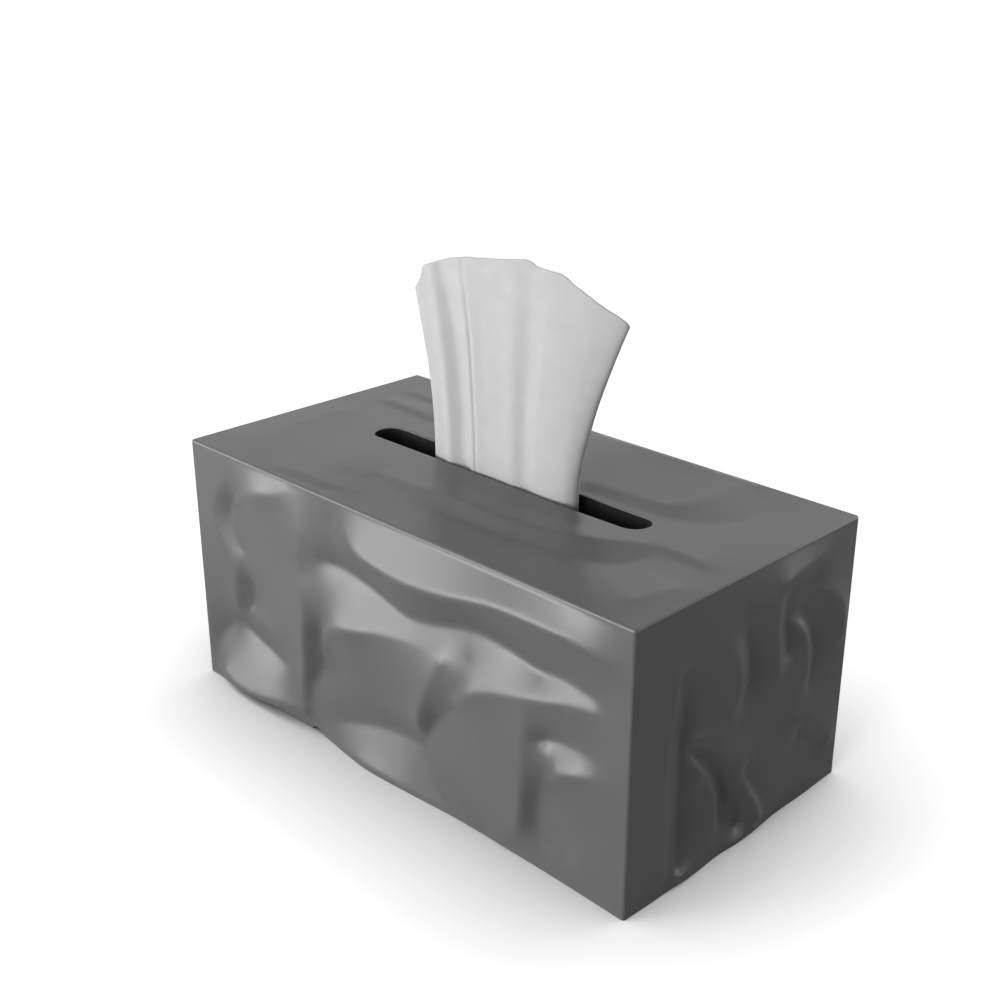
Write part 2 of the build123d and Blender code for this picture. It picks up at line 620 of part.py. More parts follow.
# Cover
inner_length = cover_length - 2 * side_wall
inner_depth = cover_depth - 2 * side_wall
inner = Pos(0, 0, -overrun) * Box(inner_length, inner_depth, cover_height - top_wall + overrun, align=base)
inner = fillet(inner.edges().filter_by(lambda edge: edge.center().Z > -overrun), inner_corner_radius)
slot = extrude(RectangleRounded(slot_length, slot_width, slot_corner_radius), amount=relief_depth + top_wall)
gap = extrude(Plane.XZ * Ellipse(gap_width / 2, gap_height), amount=relief_depth + side_wall, both=True)
cover = crumpled_block() - inner
cover -= Pos(0, 0, cover_height - top_wall - overrun) * slot
cover -= Pos((gap_place_share - 1 / 2) * cover_length, -cover_depth / 2, 0) * gap
export_step(cover, "parts/cover.step")

# Carton
carton_length = inner_length - 2 * carton_end_room
carton_depth = inner_depth - 2 * carton_side_room
carton = Box(carton_length, carton_depth, carton_height, align=base)
carton = fillet(carton.edges().filter_by(Axis.Z), carton_edge_radius)
inside = [size - 2 * board_thickness for size in (carton_length, carton_depth, carton_height)]
carton -= Pos(0, 0, board_thickness) * Box(*inside, align=base)
opening = SlotOverall(opening_length, opening_width)
carton -= Pos(0, 0, carton_height) * extrude(opening, amount=2 * board_thickness, both=True)
export_step(carton, "parts/carton.step")

# Stack, on the carton's bottom
stack_length = inside[0] - 2 * stack_end_room
stack_depth = inside[1] - 2 * stack_side_room
stack = Pos(0, 0, board_thickness) * Box(stack_length, stack_depth, stack_height, align=base)
stack = fillet(stack.edges().filter_by(Axis.Z), stack_edge_radius)
export_step(stack, "parts/tissue_stack.step")

# Pulled tissue, from the stack through the carton's opening and the slot
stack_top = board_thickness + stack_height
export_step(tissue_solid(), "parts/pulled_tissue.step")
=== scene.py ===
# A tissue box: its crumpled cast cover, the carton and the folded tissues under it, and the tissue
# that is pulled up through the slot. Metres, +Z up, +X along the length, -Y towards the front wall.
import math

import bpy
import numpy as np
from mathutils import Matrix, Vector


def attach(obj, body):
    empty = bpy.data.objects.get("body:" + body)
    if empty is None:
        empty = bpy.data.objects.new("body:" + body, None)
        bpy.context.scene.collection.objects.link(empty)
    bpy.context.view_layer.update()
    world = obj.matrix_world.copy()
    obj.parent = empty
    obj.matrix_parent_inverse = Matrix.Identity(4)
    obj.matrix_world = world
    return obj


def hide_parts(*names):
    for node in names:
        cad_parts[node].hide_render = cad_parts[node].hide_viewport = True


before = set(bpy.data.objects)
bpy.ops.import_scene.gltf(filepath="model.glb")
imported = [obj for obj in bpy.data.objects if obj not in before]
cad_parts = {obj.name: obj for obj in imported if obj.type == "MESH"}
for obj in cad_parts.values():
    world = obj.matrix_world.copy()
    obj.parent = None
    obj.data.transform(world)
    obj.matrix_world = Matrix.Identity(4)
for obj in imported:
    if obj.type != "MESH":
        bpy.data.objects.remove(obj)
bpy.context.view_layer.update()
print("frame loaded")


def deselectAll():
    for item in bpy.context.selected_objects:
        item.select_set(False)


def pick(piece):
    # Only this piece is selected and active
    deselectAll()
    piece.select_set(True)
    bpy.context.view_layer.objects.active = piece


def newPiece(name):
    piece = bpy.context.object
    piece.name = name
    piece.data.name = name
    return piece


def corners(piece):
    places = np.empty(len(piece.data.vertices) * 3)
    piece.data.vertices.foreach_get("co", places)
    return places.reshape(-1, 3)


def moveCorners(piece, places):
    piece.data.vertices.foreach_set("co", places.ravel())
    piece.data.update()


def selectEdges(piece, wanted, needed=2):
    # In object mode: selects the edges of which so many ends pass the test
    ends = np.empty(len(piece.data.edges) * 2, dtype=int)
    piece.data.edges.foreach_get("vertices", ends)
    passed = wanted(corners(piece))[ends.reshape(-1, 2)].sum(axis=1)
    piece.data.vertices.foreach_set("select", np.zeros(len(piece.data.vertices), dtype=bool))
    piece.data.polygons.foreach_set("select", np.zeros(len(piece.data.polygons), dtype=bool))
    piece.data.edges.foreach_set("select", passed >= needed)


def faceOutwards(piece):
    pick(piece)
    bpy.ops.object.mode_set(mode="EDIT")
    bpy.ops.mesh.select_all(action="SELECT")
    bpy.ops.mesh.normals_make_consistent(inside=False)
    bpy.ops.object.mode_set(mode="OBJECT")


def thickenSheet(piece, thickness):
    thicken = piece.modifiers.new("thicken", "SOLIDIFY")
    thicken.thickness = thickness
    thicken.offset = 0
    pick(piece)
    bpy.ops.object.modifier_apply(modifier=thicken.name)


def curveThrough(points, at):
    # A Catmull-Rom curve along the first axis, at places counted in points
    chain = np.concatenate([2 * points[:1] - points[1:2], points, 2 * points[-1:] - points[-2:-1]])
    k = np.minimum(at.astype(int), len(points) - 2)
    t = (at - k).reshape((-1,) + (1,) * (points.ndim - 1))
    p0, p1, p2, p3 = (chain[k + n] for n in range(4))
    return (p0 * (-t + 2 * t**2 - t**3) + p1 * (2 - 5 * t**2 + 3 * t**3)
            + p2 * (t + 4 * t**2 - 3 * t**3) + p3 * (t**3 - t**2)) / 2


# The cover: the solid's own sizes, and folds like the solid's, worked out more finely
cover = {
    "length": 0.255,
    "depth": 0.1342,
    "height": 0.1162,
    "sideWall": 0.007,
    "topWall": 0.009,
    "edgeRadius": 0.0011,
    "edgeSegments": 4,
    "innerRadius": 0.004,
    "innerSegments": 6,
    "land": 0.0022,  # the flat strip along each edge of a wall
    "reliefDepth": 0.006,
    "skirt": 0.012,  # how far the walls run on below the floor before they are cut off there
    "step": 0.0013,  # the spacing of the walls' grid
    "weld": 0.0001,  # how close corners of two walls are when they become one
    "pinStiffness": 20,  # how firmly the folds hold the wall
    "softenings": 2,  # how many times the folds are evened out
    "smoothAngle": 55,
    "slotLength": 0.1545,
    "slotWidth": 0.0146,
    "slotCorner": 0.0068,
    "slotSegments": 14,
    "slotEase": 0.0004,
    # The slot's eased edge in shares of slotEase: out from the wall and up from the top. The last
    # step takes the cutter clear of the top.
    "slotProfile": ((0, -1), (0.12, -0.5), (0.4, -0.13), (0.8, 0.06), (1.3, 0.27), (1.3, 9)),
    "gapPlace": 0.312,  # as a share of the length, from the left
    "gapWidth": 0.009,
    "gapHeight": 0.0024,
    "gapReach": 0.013,
    "gapSides": 40,
    "cutterOverlap": 0.002,
    "paintedShadeStart": 0.0012,  # how far under the top the painted shade inside the slot starts
}

# The folds of each wall, as lines that the wall is pulled onto. A point is (share along the wall,
# share of its height, rise as a share of reliefDepth). Each wall is seen from outside, from its
# left end, and the top from above, from its front edge.
frontFolds = {
    "long fold, crest": [
        (0.419, 0.917, 0.15), (0.446, 0.866, 0.61), (0.497, 0.856, 1.11), (0.581, 0.85, 1.34),
        (0.659, 0.867, 1.34), (0.715, 0.889, 1.23), (0.77, 0.906, 1.07), (0.864, 0.905, 0.88),
        (0.923, 0.887, 0.58), (0.965, 0.858, 0.19),
    ],
    "long fold, valley": [
        (0.337, 0.74, 0), (0.354, 0.739, -0.31), (0.379, 0.74, -0.58), (0.414, 0.731, -0.73),
        (0.452, 0.711, -0.81), (0.492, 0.691, -0.77), (0.538, 0.669, -0.65), (0.575, 0.68, -0.58),
        (0.613, 0.696, -0.61), (0.65, 0.719, -0.69), (0.689, 0.735, -0.73), (0.736, 0.735, -0.73),
        (0.768, 0.728, -0.69), (0.808, 0.712, -0.65), (0.828, 0.707, -0.65), (0.871, 0.725, -0.5),
        (0.936, 0.716, -0.23),
    ],
    "under the long fold, left": [
        (0.357, 0.445, 0.5), (0.391, 0.514, 0.75), (0.434, 0.55, 0.85), (0.493, 0.58, 0.36),
        (0.547, 0.596, 0.08), (0.6, 0.6, 0.05), (0.635, 0.62, 0),
    ],
    "under the long fold, right": [
        (0.674, 0.453, 0.46), (0.698, 0.528, 0.65), (0.726, 0.563, 0.69), (0.76, 0.595, 0.61),
        (0.814, 0.624, 0.42), (0.85, 0.638, 0.31), (0.886, 0.659, 0.15), (0.934, 0.672, 0.04),
    ],
    "tongue under the long fold": [
        (0.685, 0.63, -0.23), (0.68, 0.57, 0.08), (0.668, 0.489, 0.23),
    ],
    "left bend, crest": [
        (0.093, 0.894, -0.04), (0.062, 0.8, 0), (0.052, 0.709, 0.05), (0.068, 0.63, 0),
        (0.088, 0.574, -0.08), (0.1, 0.52, -0.1), (0.1, 0.441, -0.15), (0.092, 0.362, -0.2),
    ],
    "left bend, upper valley": [
        (0.111, 0.843, -0.29), (0.098, 0.8, -0.5), (0.09, 0.75, -0.55), (0.092, 0.7, -0.5),
        (0.104, 0.65, -0.5), (0.118, 0.61, -0.55),
    ],
    "left bend, valley": [
        (0.124, 0.49, -0.75), (0.132, 0.432, -0.95), (0.126, 0.37, -0.9),
    ],
    "ledge under the left bend": [
        (0.132, 0.345, -0.6), (0.173, 0.345, -0.15), (0.216, 0.345, 0.12), (0.265, 0.348, 0.3),
    ],
    "valley under the ledge": [
        (0.08, 0.285, -0.8), (0.107, 0.262, -1.02), (0.139, 0.235, -1.04), (0.182, 0.222, -0.85),
        (0.232, 0.22, -0.42),
    ],
    "left end of the lower left lobe": [
        (0.03, 0.068, -0.15), (0.027, 0.139, -0.35), (0.04, 0.204, -0.65), (0.06, 0.25, -0.85),
    ],
    "lower left lobe": [
        (0.06, 0.054, 0.5), (0.1, 0.035, 0.78), (0.149, 0.036, 0.85), (0.188, 0.05, 0.85),
        (0.231, 0.071, 0.76), (0.271, 0.087, 0.6), (0.296, 0.094, 0.44),
    ],
    "streak at the top left": [
        (0.119, 0.815, -0.1), (0.144, 0.852, 0.13), (0.173, 0.885, 0.37), (0.209, 0.911, 0.53),
        (0.239, 0.931, 0.48), (0.268, 0.962, 0.23),
    ],
    "rise before the first drop": [
        (0.295, 0.935, 0.19), (0.303, 0.838, 0.38), (0.304, 0.736, 0.42),
    ],
    "dip before the long fold": [
        (0.382, 0.926, -0.11), (0.373, 0.839, -0.15),
    ],
    "first drop, crest": [
        (0.307, 0.634, 0.46), (0.31, 0.534, 0.58), (0.309, 0.406, 0.61), (0.306, 0.293, 0.58),
        (0.299, 0.218, 0.38), (0.297, 0.155, 0.29), (0.297, 0.103, 0.27),
    ],
    "first drop, valley": [
        (0.349, 0.538, 0.15), (0.335, 0.465, -0.27), (0.329, 0.417, -0.42), (0.334, 0.328, -0.54),
        (0.329, 0.277, -0.5), (0.31, 0.219, -0.15), (0.304, 0.154, -0.04), (0.309, 0.102, -0.06),
        (0.326, 0.047, -0.15), (0.351, 0.019, -0.08),
    ],
    "plain of the middle field": [
        (0.386, 0.381, 0.2), (0.442, 0.373, 0.2), (0.498, 0.366, 0.12), (0.556, 0.362, 0.15),
    ],
    "valley of the lower middle field": [
        (0.361, 0.09, -0.3), (0.395, 0.118, -0.55), (0.435, 0.147, -0.75), (0.479, 0.172, -0.85),
        (0.527, 0.186, -0.85), (0.564, 0.19, -0.7),
    ],
    "second drop, crest": [
        (0.635, 0.595, 0.31), (0.615, 0.493, 0.65), (0.598, 0.384, 0.73), (0.588, 0.31, 0.5),
        (0.583, 0.26, 0), (0.582, 0.205, -0.5), (0.59, 0.15, -0.42), (0.605, 0.09, -0.25),
        (0.634, 0.045, -0.15), (0.672, 0.022, -0.12),
    ],
    "second drop, valley": [
        (0.658, 0.429, -0.04), (0.621, 0.353, -0.27), (0.605, 0.298, -0.2), (0.604, 0.242, -0.04),
        (0.614, 0.188, 0.1), (0.637, 0.125, 0.2), (0.672, 0.072, 0.22), (0.71, 0.04, 0.12),
    ],
    "third drop, crest": [
        (0.811, 0.582, 0.46), (0.814, 0.465, 0.58), (0.812, 0.362, 0.58), (0.809, 0.257, 0.54),
        (0.806, 0.17, 0.5), (0.789, 0.097, 0.34), (0.748, 0.038, 0.11),
    ],
    "third drop, valley": [
        (0.858, 0.408, 0.11), (0.837, 0.319, -0.27), (0.829, 0.248, -0.34), (0.827, 0.179, -0.34),
        (0.833, 0.132, -0.34), (0.851, 0.101, -0.34), (0.885, 0.096, -0.23),
    ],
    "lower right lobe": [
        (0.855, 0.345, 0), (0.864, 0.378, 0.35), (0.88, 0.41, 0.52), (0.905, 0.435, 0.45),
        (0.94, 0.45, 0.2),
    ],
    "dip over the lower right lobe": [
        (0.838, 0.487, -0.35), (0.864, 0.502, -0.42), (0.9, 0.514, -0.28), (0.94, 0.52, -0.08),
    ],
    "foot of the lower right lobe": [
        (0.913, 0.107, 0.11), (0.96, 0.124, 0.11),
    ],
    "rim": [
        (0.012, 0, 0), (0.04, 0.001, 0.03), (0.092, 0.007, 0.23), (0.136, 0.004, 0.13),
        (0.186, 0, -0.1), (0.238, 0, -0.23), (0.306, 0, -0.33), (0.35, 0, -0.13),
        (0.397, 0.006, 0.2),
        (0.454, 0.014, 0.47), (0.511, 0.012, 0.4), (0.577, 0.006, 0.2), (0.628, 0.001, 0.03),
        (0.695, 0, -0.13), (0.801, 0, -0.13), (0.92, 0, -0.07), (0.988, 0, 0),
    ],
}

rightFolds = {
    "first drop, crest": [
        (0.18, 0.796, 0.14), (0.165, 0.678, 0.23), (0.137, 0.562, 0.36), (0.112, 0.445, 0.5),
        (0.121, 0.343, 0.54), (0.131, 0.222, 0.5), (0.14, 0.08, 0.36),
    ],
    "first drop, valley": [
        (0.199, 0.756, -0.05), (0.217, 0.646, -0.27), (0.232, 0.537, -0.45), (0.224, 0.435, -0.41),
        (0.225, 0.313, -0.45), (0.228, 0.192, -0.5), (0.221, 0.112, -0.27), (0.226, 0.05, -0.05),
    ],
    "round patch, crest": [
        (0.415, 0.781, 0.23), (0.433, 0.718, 0.41), (0.436, 0.652, 0.5), (0.429, 0.592, 0.5),
        (0.407, 0.537, 0.41),
    ],
    "round patch, valley": [
        (0.475, 0.788, -0.14), (0.504, 0.683, -0.18), (0.505, 0.598, -0.14), (0.477, 0.534, 0),
    ],
    "crease into the round patch": [
        (0.243, 0.551, -0.27), (0.259, 0.581, -0.14), (0.272, 0.614, 0.09),
    ],
    "slanted fold, crest": [
        (0.241, 0.505, -0.23), (0.275, 0.5, 0.18), (0.319, 0.48, 0.36), (0.362, 0.434, 0.41),
        (0.416, 0.385, 0.36), (0.457, 0.335, 0.27), (0.484, 0.272, 0.18),
    ],
    "slanted fold, left valley": [
        (0.231, 0.491, -0.3), (0.283, 0.448, -0.36), (0.35, 0.379, -0.5), (0.402, 0.318, -0.62),
        (0.425, 0.25, -0.68), (0.428, 0.164, -0.6), (0.421, 0.086, -0.3),
    ],
    "slanted fold, right valley": [
        (0.514, 0.267, -0.1), (0.551, 0.189, -0.02), (0.596, 0.112, 0.1), (0.633, 0.052, 0.15),
    ],
    "step under the slanted fold": [
        (0.253, 0.465, -0.28), (0.276, 0.413, 0.02), (0.306, 0.361, 0.16), (0.343, 0.318, 0.05),
    ],
    "facet under the slanted fold": [
        (0.328, 0.327, -0.1), (0.365, 0.25, 0.16), (0.373, 0.172, 0.2), (0.373, 0.103, 0.14),
        (0.35, 0.052, 0.05),
    ],
    "wedge, crest": [
        (0.496, 0.232, 0.1), (0.522, 0.172, 0.36), (0.548, 0.112, 0.55), (0.57, 0.052, 0.66),
    ],
    "foot of the wedge": [
        (0.473, 0.241, 0), (0.484, 0.172, -0.22), (0.499, 0.112, -0.38), (0.51, 0.052, -0.4),
    ],
    "ledge under the top edge": [
        (0.589, 0.904, 0.18), (0.626, 0.904, 0.42), (0.686, 0.912, 0.36), (0.768, 0.921, 0.22),
        (0.835, 0.938, 0.1),
    ],
    "dip under the ledge": [
        (0.663, 0.843, -0.07), (0.738, 0.826, -0.13), (0.805, 0.843, -0.07),
    ],
    "upright stripe, crest": [
        (0.604, 0.87, 0.32), (0.606, 0.768, 0.36), (0.612, 0.666, 0.41), (0.632, 0.579, 0.36),
    ],
    "upright stripe, valley": [
        (0.656, 0.818, -0.1), (0.671, 0.706, -0.18), (0.686, 0.611, -0.12),
    ],
    "bent fold, crest": [
        (0.678, 0.731, 0), (0.723, 0.714, 0.12), (0.753, 0.671, 0.22), (0.775, 0.611, 0.26),
        (0.782, 0.542, 0.26), (0.782, 0.465, 0.16),
    ],
    "bent fold, valley": [
        (0.723, 0.74, -0.08), (0.775, 0.688, -0.14), (0.808, 0.62, -0.17), (0.823, 0.534, -0.17),
        (0.812, 0.448, -0.08),
    ],
    "edge of the back patch": [
        (0.805, 0.796, 0), (0.869, 0.777, 0.23), (0.921, 0.732, 0.32), (0.949, 0.665, 0.36),
        (0.964, 0.576, 0.27),
    ],
    "lower back fold, crest": [
        (0.641, 0.344, 0.12), (0.715, 0.37, 0.3), (0.768, 0.336, 0.38), (0.849, 0.267, 0.36),
        (0.946, 0.172, 0.23),
    ],
    "lower back fold, valley": [
        (0.775, 0.284, -0.08), (0.835, 0.224, -0.12), (0.902, 0.155, -0.1),
    ],
    "swell at the rim": [
        (0.205, 0.038, 0.41), (0.267, 0.032, 0.36), (0.335, 0.018, 0.18),
    ],
    "rim": [
        (0.022, 0, 0), (0.101, 0.002, 0.07), (0.189, 0.003, 0.1), (0.289, 0.006, 0.2),
        (0.405, 0.003, 0.1), (0.495, 0.008, 0.27), (0.572, 0.006, 0.2), (0.684, 0.001, 0.03),
        (0.817, 0.002, 0.07), (0.969, 0, 0),
    ],
}

backFolds = {
    "left long fold, crest": [
        (0.078, 0.757, 0.1), (0.149, 0.826, 0.68), (0.243, 0.843, 1.04), (0.353, 0.818, 1.12),
        (0.463, 0.835, 0.92), (0.549, 0.886, 0.32),
    ],
    "left long fold, valley": [
        (0.102, 0.637, 0), (0.173, 0.706, -0.48), (0.267, 0.731, -0.64), (0.376, 0.706, -0.64),
        (0.478, 0.723, -0.4), (0.573, 0.775, -0.08),
    ],
    "right long fold, crest": [
        (0.588, 0.895, 0.2), (0.667, 0.835, 0.64), (0.769, 0.792, 0.84), (0.871, 0.826, 0.52),
        (0.941, 0.895, 0.12),
    ],
    "right long fold, valley": [
        (0.627, 0.757, -0.12), (0.706, 0.706, -0.52), (0.8, 0.671, -0.6), (0.894, 0.706, -0.28),
    ],
    "first drop, crest": [
        (0.204, 0.602, 0.32), (0.196, 0.448, 0.6), (0.212, 0.293, 0.64), (0.204, 0.12, 0.36),
    ],
    "first drop, valley": [
        (0.251, 0.534, -0.08), (0.239, 0.413, -0.4), (0.251, 0.275, -0.44), (0.275, 0.138, -0.2),
    ],
    "second drop, crest": [
        (0.439, 0.62, 0.36), (0.424, 0.465, 0.68), (0.431, 0.31, 0.72), (0.408, 0.138, 0.4),
    ],
    "second drop, valley": [
        (0.486, 0.551, -0.08), (0.463, 0.43, -0.36), (0.471, 0.293, -0.44), (0.502, 0.138, -0.2),
    ],
    "third drop, crest": [
        (0.69, 0.568, 0.32), (0.675, 0.413, 0.6), (0.69, 0.258, 0.6), (0.667, 0.103, 0.32),
    ],
    "third drop, valley": [
        (0.745, 0.499, -0.12), (0.722, 0.379, -0.4), (0.737, 0.241, -0.4), (0.776, 0.103, -0.16),
    ],
    "last drop, crest": [
        (0.886, 0.516, 0.24), (0.871, 0.361, 0.48), (0.894, 0.207, 0.4),
    ],
    "last drop, valley": [
        (0.933, 0.465, -0.16), (0.914, 0.344, -0.28), (0.933, 0.207, -0.2),
    ],
    "lower left swell": [
        (0.031, 0.344, 0.24), (0.078, 0.258, 0.44), (0.133, 0.103, 0.44),
    ],
    "rim": [
        (0.016, 0, 0), (0.157, 0, 0.13), (0.275, 0, -0.13), (0.392, 0, 0.23), (0.529, 0, -0.13),
        (0.647, 0, 0.17), (0.784, 0, -0.1), (0.98, 0, 0),
    ],
}

leftFolds = {
    "long fold, crest": [
        (0.119, 0.723, 0.1), (0.253, 0.792, 0.52), (0.432, 0.792, 0.72), (0.611, 0.843, 0.48),
        (0.745, 0.912, 0.12),
    ],
    "long fold, valley": [
        (0.164, 0.62, 0), (0.298, 0.68, -0.4), (0.462, 0.68, -0.48), (0.641, 0.731, -0.28),
        (0.805, 0.792, -0.04),
    ],
    "first drop, crest": [
        (0.328, 0.568, 0.28), (0.298, 0.413, 0.48), (0.328, 0.258, 0.48), (0.298, 0.103, 0.28),
    ],
    "first drop, valley": [
        (0.417, 0.499, -0.12), (0.38, 0.379, -0.36), (0.41, 0.241, -0.36), (0.462, 0.103, -0.12),
    ],
    "second drop, crest": [
        (0.715, 0.62, 0.24), (0.686, 0.465, 0.52), (0.715, 0.293, 0.52), (0.671, 0.12, 0.28),
    ],
    "second drop, valley": [
        (0.82, 0.534, -0.12), (0.775, 0.413, -0.32), (0.805, 0.258, -0.32), (0.864, 0.12, -0.12),
    ],
    "front swell": [
        (0.089, 0.43, 0.16), (0.119, 0.293, 0.32), (0.089, 0.138, 0.24),
    ],
    "rim": [
        (0.022, 0, 0), (0.224, 0, 0.1), (0.447, 0, -0.1), (0.686, 0, 0.13), (0.969, 0, 0),
    ],
}

topFolds = {
    "long fold, crest": [
        (0.345, 0.246, 0.1), (0.384, 0.238, 0.16), (0.431, 0.231, 0.2), (0.51, 0.253, 0.25),
        (0.588, 0.246, 0.27), (0.667, 0.261, 0.27), (0.745, 0.291, 0.27), (0.8, 0.343, 0.24),
        (0.827, 0.38, 0.2), (0.851, 0.41, 0.12),
    ],
    "long fold, valley": [
        (0.361, 0.209, 0), (0.424, 0.194, -0.06), (0.494, 0.156, -0.14), (0.541, 0.179, -0.2),
        (0.588, 0.186, -0.25), (0.667, 0.194, -0.27), (0.725, 0.209, -0.27), (0.784, 0.224, -0.25),
        (0.827, 0.238, -0.22), (0.855, 0.291, -0.18), (0.863, 0.358, -0.08),
    ],
    "left end of the long fold": [
        (0.329, 0.149, 0.1), (0.345, 0.201, 0.1),
    ],
    "left swell": [
        (0.07, 0.531, 0.08), (0.067, 0.41, 0.09), (0.07, 0.276, 0.09), (0.097, 0.173, 0.08),
    ],
    "middle of the left field": [
        (0.169, 0.343, 0.1), (0.247, 0.268, 0.18), (0.298, 0.194, 0.2),
    ],
    "dip before the slot": [
        (0.431, 0.373, 0.06), (0.506, 0.358, 0.03), (0.62, 0.35, 0.03), (0.718, 0.373, 0.03),
    ],
    "swell at the front edge": [
        (0.219, 0.06, 0.09), (0.301, 0.058, 0.17), (0.35, 0.064, 0.13), (0.387, 0.085, 0.06),
    ],
    "dip at the front edge": [
        (0.234, 0.033, -0.04), (0.311, 0.038, -0.06), (0.359, 0.04, -0.04),
    ],
    "short crease": [
        (0.859, 0.421, 0.1), (0.902, 0.417, 0.14), (0.949, 0.406, 0.1),
    ],
    "foot of the short crease": [
        (0.871, 0.399, -0.04), (0.906, 0.395, -0.05), (0.949, 0.384, -0.03),
    ],
    "right front field": [
        (0.941, 0.119, 0.14), (0.965, 0.253, 0.12),
    ],
    "fold behind the slot, crest": [
        (0.616, 0.63, 0.14), (0.706, 0.641, 0.17), (0.776, 0.656, 0.17), (0.796, 0.715, 0.17),
        (0.8, 0.79, 0.17), (0.796, 0.879, 0.14), (0.792, 0.954, 0.08),
    ],
    "fold behind the slot, valley": [
        (0.639, 0.585, -0.08), (0.725, 0.592, -0.1), (0.8, 0.604, -0.12), (0.839, 0.633, -0.13),
        (0.867, 0.678, -0.14), (0.882, 0.738, -0.14), (0.875, 0.812, -0.12), (0.855, 0.894, -0.1),
        (0.839, 0.954, -0.05),
    ],
    "left back crease, crest": [
        (0.089, 0.721, 0.08), (0.161, 0.708, 0.09), (0.231, 0.701, 0.09),
    ],
    "left back crease, valley": [
        (0.084, 0.697, -0.06), (0.154, 0.688, -0.08), (0.232, 0.676, -0.08),
    ],
    "corner crease, crest": [
        (0.081, 0.838, 0.06), (0.16, 0.825, 0.08),
    ],
    "corner crease, valley": [
        (0.077, 0.815, -0.04), (0.155, 0.805, -0.06),
    ],
    "raised stretch of the back edge": [
        (0.472, 0.974, 0.03), (0.558, 0.968, 0.23), (0.634, 0.959, 0.35), (0.696, 0.961, 0.33),
        (0.759, 0.974, 0.15), (0.825, 0.981, 0.03),
    ],
}


def smoothLine(points, step):
    # A curve through the points, in pieces about one step long
    points = np.array(points)
    at = [np.array([len(points) - 1])]
    for n, (start, end) in enumerate(zip(points, points[1:])):
        pieces = max(2, math.ceil(math.dist(start[:2], end[:2]) / step))
        at.insert(-1, n + np.arange(pieces) / pieces)
    return curveThrough(points, np.concatenate(at))


def stretchSkin(us, vs, held, folds, width, height):
    # A membrane over a grid, held flat where held is true and pulled onto the folds elsewhere
    stiffness = cover["pinStiffness"]
    rows, weights, wanted = [], [], []
    stepU, stepV = us[1] - us[0], vs[1] - vs[0]
    for points in folds.values():
        fold = [(u * width, v * height, rise * cover["reliefDepth"]) for u, v, rise in points]
        line = smoothLine(fold, stepU / 2)
        justInside = 1.001  # keeps the last point within the last cell
        x = np.clip((line[:, 0] - us[0]) / stepU, 0, len(us) - justInside)
        y = np.clip((line[:, 1] - vs[0]) / stepV, 0, len(vs) - justInside)
        i, j = x.astype(int), y.astype(int)
        a, b = x - i, y - j
        first = j * len(us) + i
        rows.append(np.stack([first, first + 1, first + len(us), first + len(us) + 1], axis=1))
        weights.append(np.stack([(1 - a) * (1 - b), a * (1 - b), (1 - a) * b, a * b], axis=1))
        wanted.append(line[:, 2])
    rows, weights, wanted = np.vstack(rows), np.vstack(weights), np.concatenate(wanted)
    free = ~held

    def pull(rise):
        # What the membrane and the pins ask of each node
        out = 4 * rise
        out[1:, :] -= rise[:-1, :]
        out[:-1, :] -= rise[1:, :]
        out[:, 1:] -= rise[:, :-1]
        out[:, :-1] -= rise[:, 1:]
        at = (weights * rise.ravel()[rows]).sum(axis=1)
        pins = np.bincount(rows.ravel(), (weights * at[:, None]).ravel(), rise.size)
        return (out + stiffness * pins.reshape(rise.shape)) * free

    load = np.bincount(rows.ravel(), (weights * wanted[:, None]).ravel(), held.size)
    residual = stiffness * load.reshape(held.shape) * free
    rise = np.zeros(held.shape)
    way = residual.copy()
    size = (residual**2).sum()
    mostRounds, smallEnough = 500, 1e-16
    for _ in range(mostRounds):  # conjugate gradients
        answer = pull(way)
        move = size / (way * answer).sum()
        rise += move * way
        residual -= move * answer
        newSize = (residual**2).sum()
        if newSize < smallEnough:
            break
        way = residual + newSize / size * way
        size = newSize
    for _ in range(cover["softenings"]):
        around = np.zeros(rise.shape)
        around[1:-1, 1:-1] = rise[:-2, 1:-1] + rise[2:, 1:-1] + rise[1:-1, :-2] + rise[1:-1, 2:]
        rise = np.where(free, rise / 2 + around / 8, 0)
    return rise


def makeWall(name, corner, wayU, wayV, width, bottom, height, folds):
    # One wall as a grid, its folds pushed outwards
    countU = round(width / cover["step"])
    countV = round((height - bottom) / cover["step"])
    bpy.ops.mesh.primitive_grid_add(x_subdivisions=countU, y_subdivisions=countV, size=1)
    wall = newPiece(name)
    places = corners(wall)
    column = np.rint((places[:, 0] + 0.5) * countU).astype(int)
    row = np.rint((places[:, 1] + 0.5) * countV).astype(int)
    us = np.linspace(0, width, countU + 1)
    vs = np.linspace(bottom, height, countV + 1)
    land = cover["land"]
    gridU, gridV = np.meshgrid(us, vs)
    held = (gridU < land) | (gridU > width - land)
    held |= (gridV < bottom + land) | (gridV > height - land)
    rise = stretchSkin(us, vs, held, folds, width, height)
    outwards = np.cross(wayU, wayV)
    spread = us[column, None] * np.array(wayU) + vs[row, None] * np.array(wayV)
    moveCorners(wall, np.array(corner) + spread + rise[row, column, None] * outwards)
    return wall, rise


